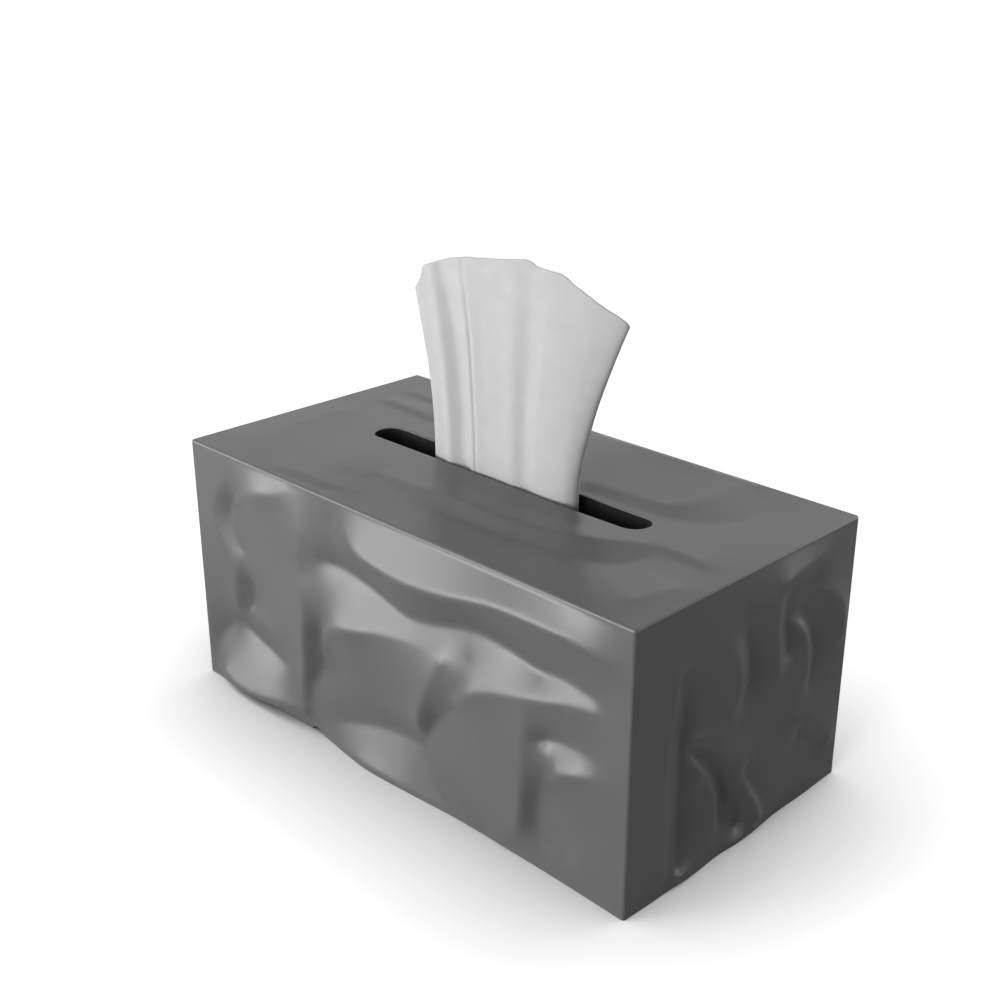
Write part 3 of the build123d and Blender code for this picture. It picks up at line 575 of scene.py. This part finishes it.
length, depth, height = cover["length"], cover["depth"], cover["height"]
right, far = length / 2, depth / 2  # where the right wall and the back wall stand
wallPlans = [
    ("wallFront", (-right, -far, 0), (1, 0, 0), length, frontFolds),
    ("wallRight", (right, -far, 0), (0, 1, 0), depth, rightFolds),
    ("wallBack", (right, far, 0), (-1, 0, 0), length, backFolds),
    ("wallLeft", (-right, far, 0), (0, -1, 0), depth, leftFolds),
]
walls = []
for name, corner, way, width, folds in wallPlans:
    walls.append(makeWall(name, corner, way, (0, 0, 1), width, -cover["skirt"], height, folds)[0])
topWall, topRise = makeWall(
    "wallTop", (-right, -far, height), (1, 0, 0), (0, 1, 0), length, 0, depth, topFolds
)
deselectAll()
for wall in walls:
    wall.select_set(True)
topWall.select_set(True)
bpy.context.view_layer.objects.active = topWall
bpy.ops.object.join()
shell = newPiece("coverShell")
pick(shell)
bpy.ops.object.mode_set(mode="EDIT")
bpy.ops.mesh.select_all(action="SELECT")
bpy.ops.mesh.remove_doubles(threshold=cover["weld"])
bpy.ops.object.mode_set(mode="OBJECT")
faceOutwards(shell)
print("cover: walls joined,", len(shell.data.vertices), "corners")

hair = 1e-5  # what still counts as being on a plane


def onBoxEdge(places):
    atEnd = abs(abs(places[:, 0]) - right) < hair
    atSide = abs(abs(places[:, 1]) - far) < hair
    atTop = abs(places[:, 2] - height) < hair
    return (atEnd & atSide) | (atTop & (atEnd | atSide))


selectEdges(shell, onBoxEdge)
bpy.ops.object.mode_set(mode="EDIT")
bpy.ops.mesh.select_mode(type="EDGE")
bpy.ops.mesh.bevel(
    offset=cover["edgeRadius"], segments=cover["edgeSegments"], affect="EDGES", clamp_overlap=False
)
bpy.ops.mesh.select_all(action="SELECT")
bpy.ops.mesh.bisect(plane_co=(0, 0, 0), plane_no=(0, 0, 1), use_fill=True, clear_inner=True)
bpy.ops.object.mode_set(mode="OBJECT")
faceOutwards(shell)


def cutAway(piece, cutter):
    cut = piece.modifiers.new("cut", "BOOLEAN")
    cut.operation = "DIFFERENCE"
    cut.solver = "EXACT"
    cut.object = cutter
    pick(piece)
    bpy.ops.object.modifier_apply(modifier=cut.name)
    bpy.data.objects.remove(cutter)


# The hollow under it, flat inside with eased corners
innerHeight = height - cover["topWall"]
bpy.ops.mesh.primitive_cube_add(size=1, location=(0, 0, 0))
hollow = newPiece("hollow")
places = corners(hollow)
places[:, 0] *= length - 2 * cover["sideWall"]
places[:, 1] *= depth - 2 * cover["sideWall"]
places[:, 2] = np.where(places[:, 2] > 0, innerHeight, -cover["cutterOverlap"])
moveCorners(hollow, places)
pick(hollow)
selectEdges(hollow, lambda places: places[:, 2] > 0, needed=1)  # all but those underneath
bpy.ops.object.mode_set(mode="EDIT")
bpy.ops.mesh.select_mode(type="EDGE")
bpy.ops.mesh.bevel(offset=cover["innerRadius"], segments=cover["innerSegments"], affect="EDGES")
bpy.ops.object.mode_set(mode="OBJECT")
cutAway(shell, hollow)
print("cover: hollowed")


def topHeight(x, y):
    # How high the cover's top stands at a place
    u = (x + right) / length * (topRise.shape[1] - 1)
    v = (y + far) / depth * (topRise.shape[0] - 1)
    i, j = int(u), int(v)
    a, b = u - i, v - j
    near = topRise[j, i] * (1 - a) + topRise[j, i + 1] * a
    beyond = topRise[j + 1, i] * (1 - a) + topRise[j + 1, i + 1] * a
    return height + near * (1 - b) + beyond * b


# The slot, with an eased edge at the top
bpy.ops.mesh.primitive_plane_add(size=1, location=(0, 0, 0))
slotCut = newPiece("slotCut")
places = corners(slotCut)
places[:, 0] *= cover["slotLength"]
places[:, 1] *= cover["slotWidth"]
places[:, 2] = innerHeight - cover["cutterOverlap"]
moveCorners(slotCut, places)
pick(slotCut)
bpy.ops.object.mode_set(mode="EDIT")
bpy.ops.mesh.select_all(action="SELECT")
bpy.ops.mesh.bevel(offset=cover["slotCorner"], segments=cover["slotSegments"], affect="VERTICES")
bpy.ops.object.mode_set(mode="OBJECT")
straight = cover["slotLength"] / 2 - cover["slotCorner"]
flat = cover["slotWidth"] / 2 - cover["slotCorner"]
ease = cover["slotEase"]
for out, up in cover["slotProfile"]:
    pick(slotCut)
    bpy.ops.object.mode_set(mode="EDIT")
    bpy.ops.mesh.select_mode(type="FACE")
    bpy.ops.mesh.extrude_region_move(TRANSFORM_OT_translate={"value": (0, 0, 0.001)})
    bpy.ops.object.mode_set(mode="OBJECT")
    # The new rim goes where the profile wants it, wherever it was drawn out to
    for point in slotCut.data.vertices:
        if point.select:
            x, y = point.co.x, point.co.y
            middle = Vector((min(max(x, -straight), straight), min(max(y, -flat), flat), 0))
            outwards = Vector((x - middle.x, y - middle.y, 0)).normalized()
            rim = middle + outwards * (cover["slotCorner"] + out * ease)
            point.co = (rim.x, rim.y, topHeight(rim.x, rim.y) + up * ease)
faceOutwards(slotCut)
cutAway(shell, slotCut)

# The low gap in the front rim
bpy.ops.mesh.primitive_cylinder_add(
    vertices=cover["gapSides"], radius=1, depth=2, location=(0, 0, 0)
)
gapCut = newPiece("gapCut")
places = corners(gapCut)
across, along, up = places[:, 0].copy(), places[:, 2].copy(), places[:, 1].copy()
places[:, 0] = (cover["gapPlace"] - 0.5) * length + across * cover["gapWidth"] / 2
places[:, 1] = -far + along * cover["gapReach"]
places[:, 2] = up * cover["gapHeight"]
moveCorners(gapCut, places)
faceOutwards(gapCut)
cutAway(shell, gapCut)
pick(shell)
bpy.ops.object.shade_smooth_by_angle(angle=math.radians(cover["smoothAngle"]))
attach(shell, "root")
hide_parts("cover")
print("cover: done,", len(shell.data.polygons), "faces")

# The pulled tissue: one sheet, from its left edge across the front, round the right side and back
# behind. Each fold is a row of places (x, y) at the six levels: on the stack, in the carton's
# opening, in the slot, and low, middle and high in the fan. In millimetres.
tissue = {
    "levels": (66.6, 85, 116.2, 150, 175, 200),
    "across": 320,
    "upwards": 150,
    "thickness": 0.00025,
    "flatSize": (0.215, 0.145),
    "folds": [
        ((-46, -3), (-40, -3), (-38, -2.6), (-40.5, -2.6), (-45.6, -2.8), (-51.4, -3.2)),
        ((-42, -4.2), (-37, -4.2), (-34.6, -4), (-36.6, -4.5), (-41, -5.2), (-46, -5.8)),
        ((-37, -4.6), (-33, -4.6), (-30, -4.4), (-31.4, -5), (-35.4, -5.8), (-40, -6.4)),
        ((-31, -5.6), (-28, -5.6), (-26, -5.5), (-26.6, -6.6), (-29, -7.6), (-34, -7.8)),
        ((-25, -3.6), (-22, -3.4), (-20.6, -3.1), (-20.8, -3.7), (-23, -4.9), (-28.6, -6.5)),
        ((-19, -3.8), (-17, -3.6), (-16.4, -3.4), (-16.6, -4), (-18.2, -5.3), (-23, -7)),
        ((-14, -5.6), (-13, -5.5), (-12.4, -5.4), (-12.6, -6.5), (-13.4, -7.7), (-17, -8.1)),
        ((-12, -5.2), (-11.2, -5.1), (-10.6, -5), (-10.7, -6.1), (-11.3, -7.3), (-14.3, -7.9)),
        ((-10, -5.5), (-9.2, -5.4), (-8.8, -5.3), (-8.8, -6.4), (-9.2, -7.6), (-11.6, -8.2)),
        ((-5, -5), (-4.4, -5), (-4, -4.9), (-4, -5.9), (-4, -7.2), (-5, -8)),
        ((4, -5), (4, -5), (4, -4.9), (4.4, -6), (5.4, -7.4), (6, -8.2)),
        ((12, -5.3), (11, -5.3), (10.4, -5.3), (11.2, -6.4), (13, -7.8), (14.6, -8.5)),
        ((20, -4.1), (18, -4), (16.6, -3.8), (18, -4.7), (20.8, -6.2), (23, -7.5)),
        ((29, -5), (26, -5), (23.6, -4.8), (25.8, -5.9), (29.8, -7.1), (33, -7.8)),
        ((39, -4.8), (34, -4.8), (31.4, -4.5), (34.4, -5.3), (39.4, -6.1), (45, -6.6)),
        ((49, -3.6), (42, -3.6), (37.8, -3.1), (42.4, -3.5), (49, -3.9), (57, -4.2)),
        ((54, 0), (46, 0), (41, 0.2), (47.6, 0.2), (57, 0.2), (68, 0.6)),
        ((50, 4), (43, 4), (38, 3.8), (44, 4.2), (51.6, 5), (60, 6)),
        ((38, 5.6), (34, 5.4), (30, 4.8), (34, 5.8), (40, 7), (46, 7.6)),
        ((26, 5), (23, 4.8), (20, 4.2), (22.6, 4.8), (26, 5.6), (30, 6.4)),
        ((12, 5.6), (11, 5.4), (9.6, 5), (10.6, 6), (12, 7.6), (14, 8.4)),
        ((-2, 5), (-2, 4.8), (-2, 4.2), (-2, 4.6), (-2.4, 5.6), (-3, 6.4)),
        ((-16, 5.8), (-15, 5.6), (-13.6, 5), (-14.6, 6.2), (-16.4, 7.8), (-19, 8.6)),
        ((-30, 5), (-27, 4.8), (-24.6, 4.4), (-26, 5.2), (-29, 6.2), (-33, 7)),
        ((-41, 4.4), (-36, 4.2), (-33, 3.8), (-34.8, 4.2), (-38, 4.8), (-42, 5.2)),
    ],
    # The uneven upper edge: how many folds along, and how high
    "upperEdge": [
        (0, 187), (0.5, 188), (1.1, 190.4), (1.6, 193.6), (1.95, 197.6), (2.3, 199), (3, 200.4),
        (4, 202.2), (5, 204), (5.7, 205.2), (7, 205.9), (9, 207.2), (10.5, 209.4), (11.6, 210.8),
        (11.9, 210.4), (12.2, 209), (12.6, 208.6), (13.3, 208.2), (13.6, 206.8), (13.8, 205),
        (14.1, 203.4), (14.7, 199.8), (15.4, 195.8), (16, 192), (16.6, 190), (18, 189), (19, 190.6),
        (20, 194), (21, 197), (22, 193), (23, 186), (24, 178),
    ],
}
folds = np.array(tissue["folds"], dtype=float)
bpy.ops.mesh.primitive_grid_add(
    x_subdivisions=tissue["across"], y_subdivisions=tissue["upwards"], size=1
)
sheet = newPiece("tissueSheet")
places = corners(sheet)
across = (places[:, 0] + 0.5) * (len(folds) - 1)
lines = curveThrough(folds, across)  # each corner's own way up, level by level
ends = np.interp(across, *zip(*tissue["upperEdge"]))
levels = np.array(tissue["levels"])
z = levels[0] + (places[:, 1] + 0.5) * (ends - levels[0])
# Each corner goes onto a smooth curve through its levels, which aren't evenly spaced
k = np.clip(np.searchsorted(levels, z, side="right") - 1, 0, len(levels) - 2)
t = (z - levels[k]) / (levels[k + 1] - levels[k])
rows = np.arange(len(z))
spans = np.diff(levels)
slopes = np.diff(lines, axis=1) / spans[None, :, None]
tangents = np.empty_like(lines)
tangents[:, 0], tangents[:, -1] = slopes[:, 0], slopes[:, -1]
share = (spans[1:] / (spans[1:] + spans[:-1]))[None, :, None]
tangents[:, 1:-1] = slopes[:, :-1] * share + slopes[:, 1:] * (1 - share)
a, b = lines[rows, k], lines[rows, k + 1]
ta, tb = tangents[rows, k] * spans[k][:, None], tangents[rows, k + 1] * spans[k][:, None]
t = t[:, None]
xy = a * (1 - 3 * t**2 + 2 * t**3) + b * (3 * t**2 - 2 * t**3)
xy += ta * (t - 2 * t**2 + t**3) + tb * (t**3 - t**2)
moveCorners(sheet, np.column_stack([xy, z]) / 1000)
thickenSheet(sheet, tissue["thickness"])
bpy.ops.object.shade_smooth()
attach(sheet, "root")
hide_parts("pulled_tissue")
print("tissue: done,", len(sheet.data.polygons), "faces")

# The stack under it: one long web folded to and fro, for the interleaved tissues
stack = {
    "length": 0.216,
    "depth": 0.107,
    "bottom": 0.0006,
    "height": 0.0658,
    "layers": 33,
    "thickness": 0.0011,
    "wander": 0.0011,  # how far the turns draw back unevenly
    "ripple": 0.0002,
    "across": 20,
    "straightRows": 5,
    "turnRows": 4,
    "smoothAngle": 50,
}
straightRows, turnRows = stack["straightRows"], stack["turnRows"]
perLayer = straightRows + turnRows
pitch = stack["height"] / stack["layers"]
rowCount = stack["layers"] * perLayer
bpy.ops.mesh.primitive_grid_add(x_subdivisions=stack["across"], y_subdivisions=rowCount, size=1)
pile = newPiece("tissueStack")
places = corners(pile)
row = (places[:, 1] + 0.5) * rowCount
layer = np.minimum((row / perLayer).astype(int), stack["layers"] - 1)
step = row - layer * perLayer
drawnBack = stack["wander"] * (0.5 + 0.5 * np.sin(2.3 * layer + 25 * places[:, 0]))
reach = stack["depth"] / 2 - pitch / 2 - drawnBack
turn = np.clip(step - straightRows, 0, turnRows) / turnRows * math.pi
side = np.where(layer % 2 == 0, 1, -1)
straightRun = (2 * step / straightRows - 1) * reach
along = np.where(step <= straightRows, straightRun, reach + np.sin(turn) * pitch / 2)
up = stack["bottom"] + pitch * (layer + 0.5) + (1 - np.cos(turn)) * pitch / 2
up = np.minimum(up, stack["bottom"] + pitch * (stack["layers"] - 0.5))
up += stack["ripple"] * np.sin(60 * places[:, 0] + 40 * along + layer)
moveCorners(pile, np.column_stack([places[:, 0] * stack["length"], side * along, up]))
thickenSheet(pile, stack["thickness"])
bpy.ops.object.shade_smooth_by_angle(angle=math.radians(stack["smoothAngle"]))
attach(pile, "root")
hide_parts("tissue_stack")
print("stack: done,", len(pile.data.polygons), "faces")


def newGroup(name, inputs, outputs):
    group = bpy.data.node_groups.new(name, "ShaderNodeTree")
    for side, sockets in (("INPUT", inputs), ("OUTPUT", outputs)):
        for socket, kind in sockets:
            group.interface.new_socket(name=socket, in_out=side, socket_type="NodeSocket" + kind)
    start = group.nodes.new("NodeGroupInput")
    end = group.nodes.new("NodeGroupOutput")
    return group, start, end


# Grain, shared by every finish here: a fine height, and a broad mottle for the colour and the gloss
noiseLook = {"fineDetail": 5, "broadDetail": 3, "roughness": 0.6, "spread": (0.3, 0.7)}
grain, start, end = newGroup(
    "grain",
    [("Place", "Vector"), ("Stretch", "Vector"), ("Scale", "Float"), ("Mottle", "Float")],
    [("Height", "Float"), ("Patches", "Float")],
)
stretched = grain.nodes.new("ShaderNodeVectorMath")
stretched.operation = "MULTIPLY"
grain.links.new(start.outputs["Place"], stretched.inputs[0])
grain.links.new(start.outputs["Stretch"], stretched.inputs[1])
for place, scale, detail, socket in (
    (stretched.outputs["Vector"], "Scale", noiseLook["fineDetail"], "Height"),
    (start.outputs["Place"], "Mottle", noiseLook["broadDetail"], "Patches"),
):
    noise = grain.nodes.new("ShaderNodeTexNoise")
    noise.inputs["Detail"].default_value = detail
    noise.inputs["Roughness"].default_value = noiseLook["roughness"]
    grain.links.new(place, noise.inputs["Vector"])
    grain.links.new(start.outputs[scale], noise.inputs["Scale"])
    grain.links.new(noise.outputs["Fac"], end.inputs[socket])


def setRange(node, fromRange, toRange):
    for socket, value in zip(("From Min", "From Max", "To Min", "To Max"), (*fromRange, *toRange)):
        node.inputs[socket].default_value = value


def newFinish(name, look):
    # One material: its own colour, gloss and grain from the look's values. The colour and the gloss
    # run over the noise's spread, where nearly all of its values lie.
    material = bpy.data.materials.new(name)
    material.use_nodes = True
    tree = material.node_tree
    shader = tree.nodes["Principled BSDF"]
    shader.inputs["Specular IOR Level"].default_value = look["specular"]
    place = tree.nodes.new("ShaderNodeTexCoord")
    grained = tree.nodes.new("ShaderNodeGroup")
    grained.node_tree = grain
    grained.inputs["Stretch"].default_value = look["stretch"]
    grained.inputs["Scale"].default_value = look["scale"]
    grained.inputs["Mottle"].default_value = look["mottle"]
    tree.links.new(place.outputs["Object"], grained.inputs["Place"])
    tone = tree.nodes.new("ShaderNodeValToRGB")
    shares = (1 - look["spread"], 1 + look["spread"])
    for stop, share, at in zip(tone.color_ramp.elements, shares, noiseLook["spread"]):
        stop.position = at
        stop.color = [channel * share for channel in look["colour"]] + [1]
    tree.links.new(grained.outputs["Patches"], tone.inputs["Fac"])
    tree.links.new(tone.outputs["Color"], shader.inputs["Base Color"])
    gloss = tree.nodes.new("ShaderNodeMapRange")
    roughness, glossSpread = look["roughness"], look["glossSpread"]
    setRange(gloss, noiseLook["spread"], (roughness - glossSpread, roughness + glossSpread))
    tree.links.new(grained.outputs["Patches"], gloss.inputs["Value"])
    tree.links.new(gloss.outputs["Result"], shader.inputs["Roughness"])
    bump = tree.nodes.new("ShaderNodeBump")
    bump.inputs["Strength"].default_value = look["relief"]
    bump.inputs["Distance"].default_value = look["reliefDepth"]
    tree.links.new(grained.outputs["Height"], bump.inputs["Height"])
    tree.links.new(bump.outputs["Normal"], shader.inputs["Normal"])
    return material


finishes = {
    # Satin grey casting
    "satinCasting": {
        "colour": (0.122, 0.122, 0.124), "spread": 0.035, "roughness": 0.37, "glossSpread": 0.02,
        "specular": 0.6, "stretch": (1, 1, 1), "scale": 1400, "mottle": 22, "relief": 0.1,
        "reliefDepth": 0.00012,
    },
    # Painted shade: a near-black finish inside the slot and the hollow stands in for the shade
    # there
    "paintedShadeInside": {
        "colour": (0.022, 0.022, 0.023), "spread": 0.3, "roughness": 0.9, "glossSpread": 0.05,
        "specular": 0.15, "stretch": (1, 1, 1), "scale": 2600, "mottle": 300, "relief": 0.5,
        "reliefDepth": 0.0003,
    },
    # Soft paper, creped across the sheet
    "softPaper": {
        "colour": (0.57, 0.57, 0.575), "spread": 0.03, "roughness": 0.9, "glossSpread": 0.04,
        "specular": 0.2, "stretch": (0.5, 0.5, 2.2), "scale": 900, "mottle": 120, "relief": 0.22,
        "reliefDepth": 0.00025,
    },
    # Thin grey-white carton board with its fibres lengthwise
    "cartonBoard": {
        "colour": (0.55, 0.53, 0.48), "spread": 0.07, "roughness": 0.78, "glossSpread": 0.07,
        "specular": 0.3, "stretch": (0.25, 1, 1), "scale": 700, "mottle": 60, "relief": 0.3,
        "reliefDepth": 0.0002,
    },
}
made = {name: newFinish(name, look) for name, look in finishes.items()}
shell.data.materials.clear()
shell.data.materials.append(made["satinCasting"])
shell.data.materials.append(made["paintedShadeInside"])
# Painted shade: the faces inside the slot and the hollow get the near-black finish
centres = np.empty(len(shell.data.polygons) * 3)
shell.data.polygons.foreach_get("center", centres)
x, y, z = centres.reshape(-1, 3).T
margin = 1e-4
inSlot = (abs(x) < cover["slotLength"] / 2 + margin) & (abs(y) < cover["slotWidth"] / 2 + margin)
inSlot &= z < height - cover["paintedShadeStart"]
inHollow = (abs(x) < right - cover["sideWall"] + hair) & (abs(y) < far - cover["sideWall"] + hair)
inHollow &= z < innerHeight + hair
paintedShade = (z > margin) & (inSlot | inHollow)
shell.data.polygons.foreach_set("material_index", paintedShade.astype(int))
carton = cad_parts["carton"]
for piece, finish in ((sheet, "softPaper"), (pile, "softPaper"), (carton, "cartonBoard")):
    piece.data.materials.clear()
    piece.data.materials.append(made[finish])
print("finishes: done,", int(paintedShade.sum()), "lined faces")

# Studio: a pale floor that the camera sees as white, with the object's shadow on it: partly cast by
# the lamps, partly painted shadow in the floor's colour and glow. A lamp is its turn from straight
# in front and its rise, both in degrees, its size and its power.
studio = {
    "world": 0.03,
    "floorSize": 40,
    "floor": 0.8,
    "floorRoughness": 0.9,
    # Painted shadow: the floor's colour is darkened where the object hems it in
    "floorInPaintedShade": 0.04,
    "paintedShadeOpenness": (0.1, 0.45),  # how open the floor is at a place, from full painted shadow to plain floor
    "glowAndPaintedShadow": (0.03, 0.84),  # the floor's own light, over the same openness: dimmer close to the object, as painted shadow
    "glowFrom": (0.35, 1),
    "shadowReach": 0.085,
    "shadowSamples": 24,
    "whiteFrom": (0.3, 1.1),
    "distance": 1.4,
    "aim": (0, 0, 0.05),
    "lamps": [
        ("frontRight", 12, 16, 0.45, 5.2),
        ("frontLeft", -35, 16, 0.45, 4.6),
        ("frontHigh", 12, 32, 0.45, 1.6),
        ("frontLow", -22, 6, 0.5, 6.4),
        ("sideLow", -58, 6, 0.5, 4),
        ("behindHigh", 175, 40, 0.6, 2.2),
        ("behindRight", 150, 8, 0.6, 3.6),
        ("behindLeft", -177, 6, 0.6, 4.2),
    ],
}


def mathNode(tree, operation, first, second):
    node = tree.nodes.new("ShaderNodeMath")
    node.operation = operation
    for socket, value in zip(node.inputs, (first, second)):
        if isinstance(value, bpy.types.NodeSocket):
            tree.links.new(value, socket)
        else:
            socket.default_value = value
    return node.outputs[0]


def rayShare(tree, mirroredShare):
    # 1 for what the camera sees, and the given share for what gloss and clear material see
    path = tree.nodes.new("ShaderNodeLightPath")
    gloss, clear = path.outputs["Is Glossy Ray"], path.outputs["Is Transmission Ray"]
    mirrored = mathNode(tree, "MULTIPLY", mathNode(tree, "MAXIMUM", gloss, clear), mirroredShare)
    return mathNode(tree, "MAXIMUM", path.outputs["Is Camera Ray"], mirrored)


bpy.ops.mesh.primitive_plane_add(size=studio["floorSize"], location=(0, 0, 0))
floor = newPiece("floor")
pale = bpy.data.materials.new("paleFloor")
pale.use_nodes = True
tree = pale.node_tree
shader = tree.nodes["Principled BSDF"]
shader.inputs["Roughness"].default_value = studio["floorRoughness"]
shader.inputs["Specular IOR Level"].default_value = 0
shade = tree.nodes.new("ShaderNodeAmbientOcclusion")
shade.samples = studio["shadowSamples"]
shade.inputs["Distance"].default_value = studio["shadowReach"]
# Painted shadow: the floor's colour darkens as the object closes it in
paintedFloorShade = tree.nodes.new("ShaderNodeMapRange")
setRange(paintedFloorShade, studio["paintedShadeOpenness"], (studio["floorInPaintedShade"], studio["floor"]))
tree.links.new(shade.outputs["AO"], paintedFloorShade.inputs["Value"])
tree.links.new(paintedFloorShade.outputs["Result"], shader.inputs["Base Color"])
# Painted shadow: the floor's glow dims close to the object
glowAndPaintedShadow = tree.nodes.new("ShaderNodeMapRange")
setRange(glowAndPaintedShadow, studio["glowFrom"], studio["glowAndPaintedShadow"])
tree.links.new(shade.outputs["AO"], glowAndPaintedShadow.inputs["Value"])
# Gloss and clear material see the white from a little way off, and the lit floor close by
place = tree.nodes.new("ShaderNodeTexCoord")
away = tree.nodes.new("ShaderNodeVectorMath")
away.operation = "LENGTH"
tree.links.new(place.outputs["Object"], away.inputs[0])
fade = tree.nodes.new("ShaderNodeMapRange")
setRange(fade, studio["whiteFrom"], (0, 1))
tree.links.new(away.outputs["Value"], fade.inputs["Value"])
whiteAway = fade.outputs["Result"]
whiter = mathNode(tree, "MAXIMUM", glowAndPaintedShadow.outputs["Result"], whiteAway)
seen = mathNode(tree, "MULTIPLY", whiter, rayShare(tree, whiteAway))
shader.inputs["Emission Color"].default_value = (1, 1, 1, 1)
tree.links.new(seen, shader.inputs["Emission Strength"])
floor.data.materials.append(pale)

world = bpy.data.worlds.new("surroundings")
bpy.context.scene.world = world
world.use_nodes = True
tree = world.node_tree
background = tree.nodes["Background"]
background.inputs["Color"].default_value = (1, 1, 1, 1)
strength = tree.nodes.new("ShaderNodeMapRange")
setRange(strength, (0, 1), (studio["world"], 1))
tree.links.new(rayShare(tree, 1), strength.inputs["Value"])
tree.links.new(strength.outputs["Result"], background.inputs["Strength"])

aim = Vector(studio["aim"])
for name, turn, rise, size, power in studio["lamps"]:
    turn, rise = math.radians(turn), math.radians(rise)
    flatWay = math.cos(rise)
    way = Vector((math.sin(turn) * flatWay, -math.cos(turn) * flatWay, math.sin(rise)))
    bpy.ops.object.light_add(type="AREA", location=aim + way * studio["distance"])
    lamp = bpy.context.object
    lamp.name = name
    lamp.data.size = size
    lamp.data.energy = power
    lamp.rotation_euler = way.to_track_quat("Z", "Y").to_euler()

# Camera: the photograph's own place, solved from the box's corners
view = {
    "lens": 50.48,
    "film": 36,
    "eye": (0.380513, -0.382156, 0.329087),
    "right": (0.70720551, 0.70700804, 0),
    "up": (-0.27156317, 0.27163902, 0.92329068),
}
bpy.ops.object.camera_add()
camera = bpy.context.object
camera.data.lens = view["lens"]
camera.data.sensor_width = view["film"]
toRight, toTop = Vector(view["right"]), Vector(view["up"])
turn = Matrix((toRight, toTop, toRight.cross(toTop))).transposed()
camera.matrix_world = Matrix.LocRotScale(Vector(view["eye"]), turn.to_quaternion(), None)
bpy.context.scene.camera = camera
bpy.context.scene.view_settings.view_transform = "Standard"
print("studio: done")
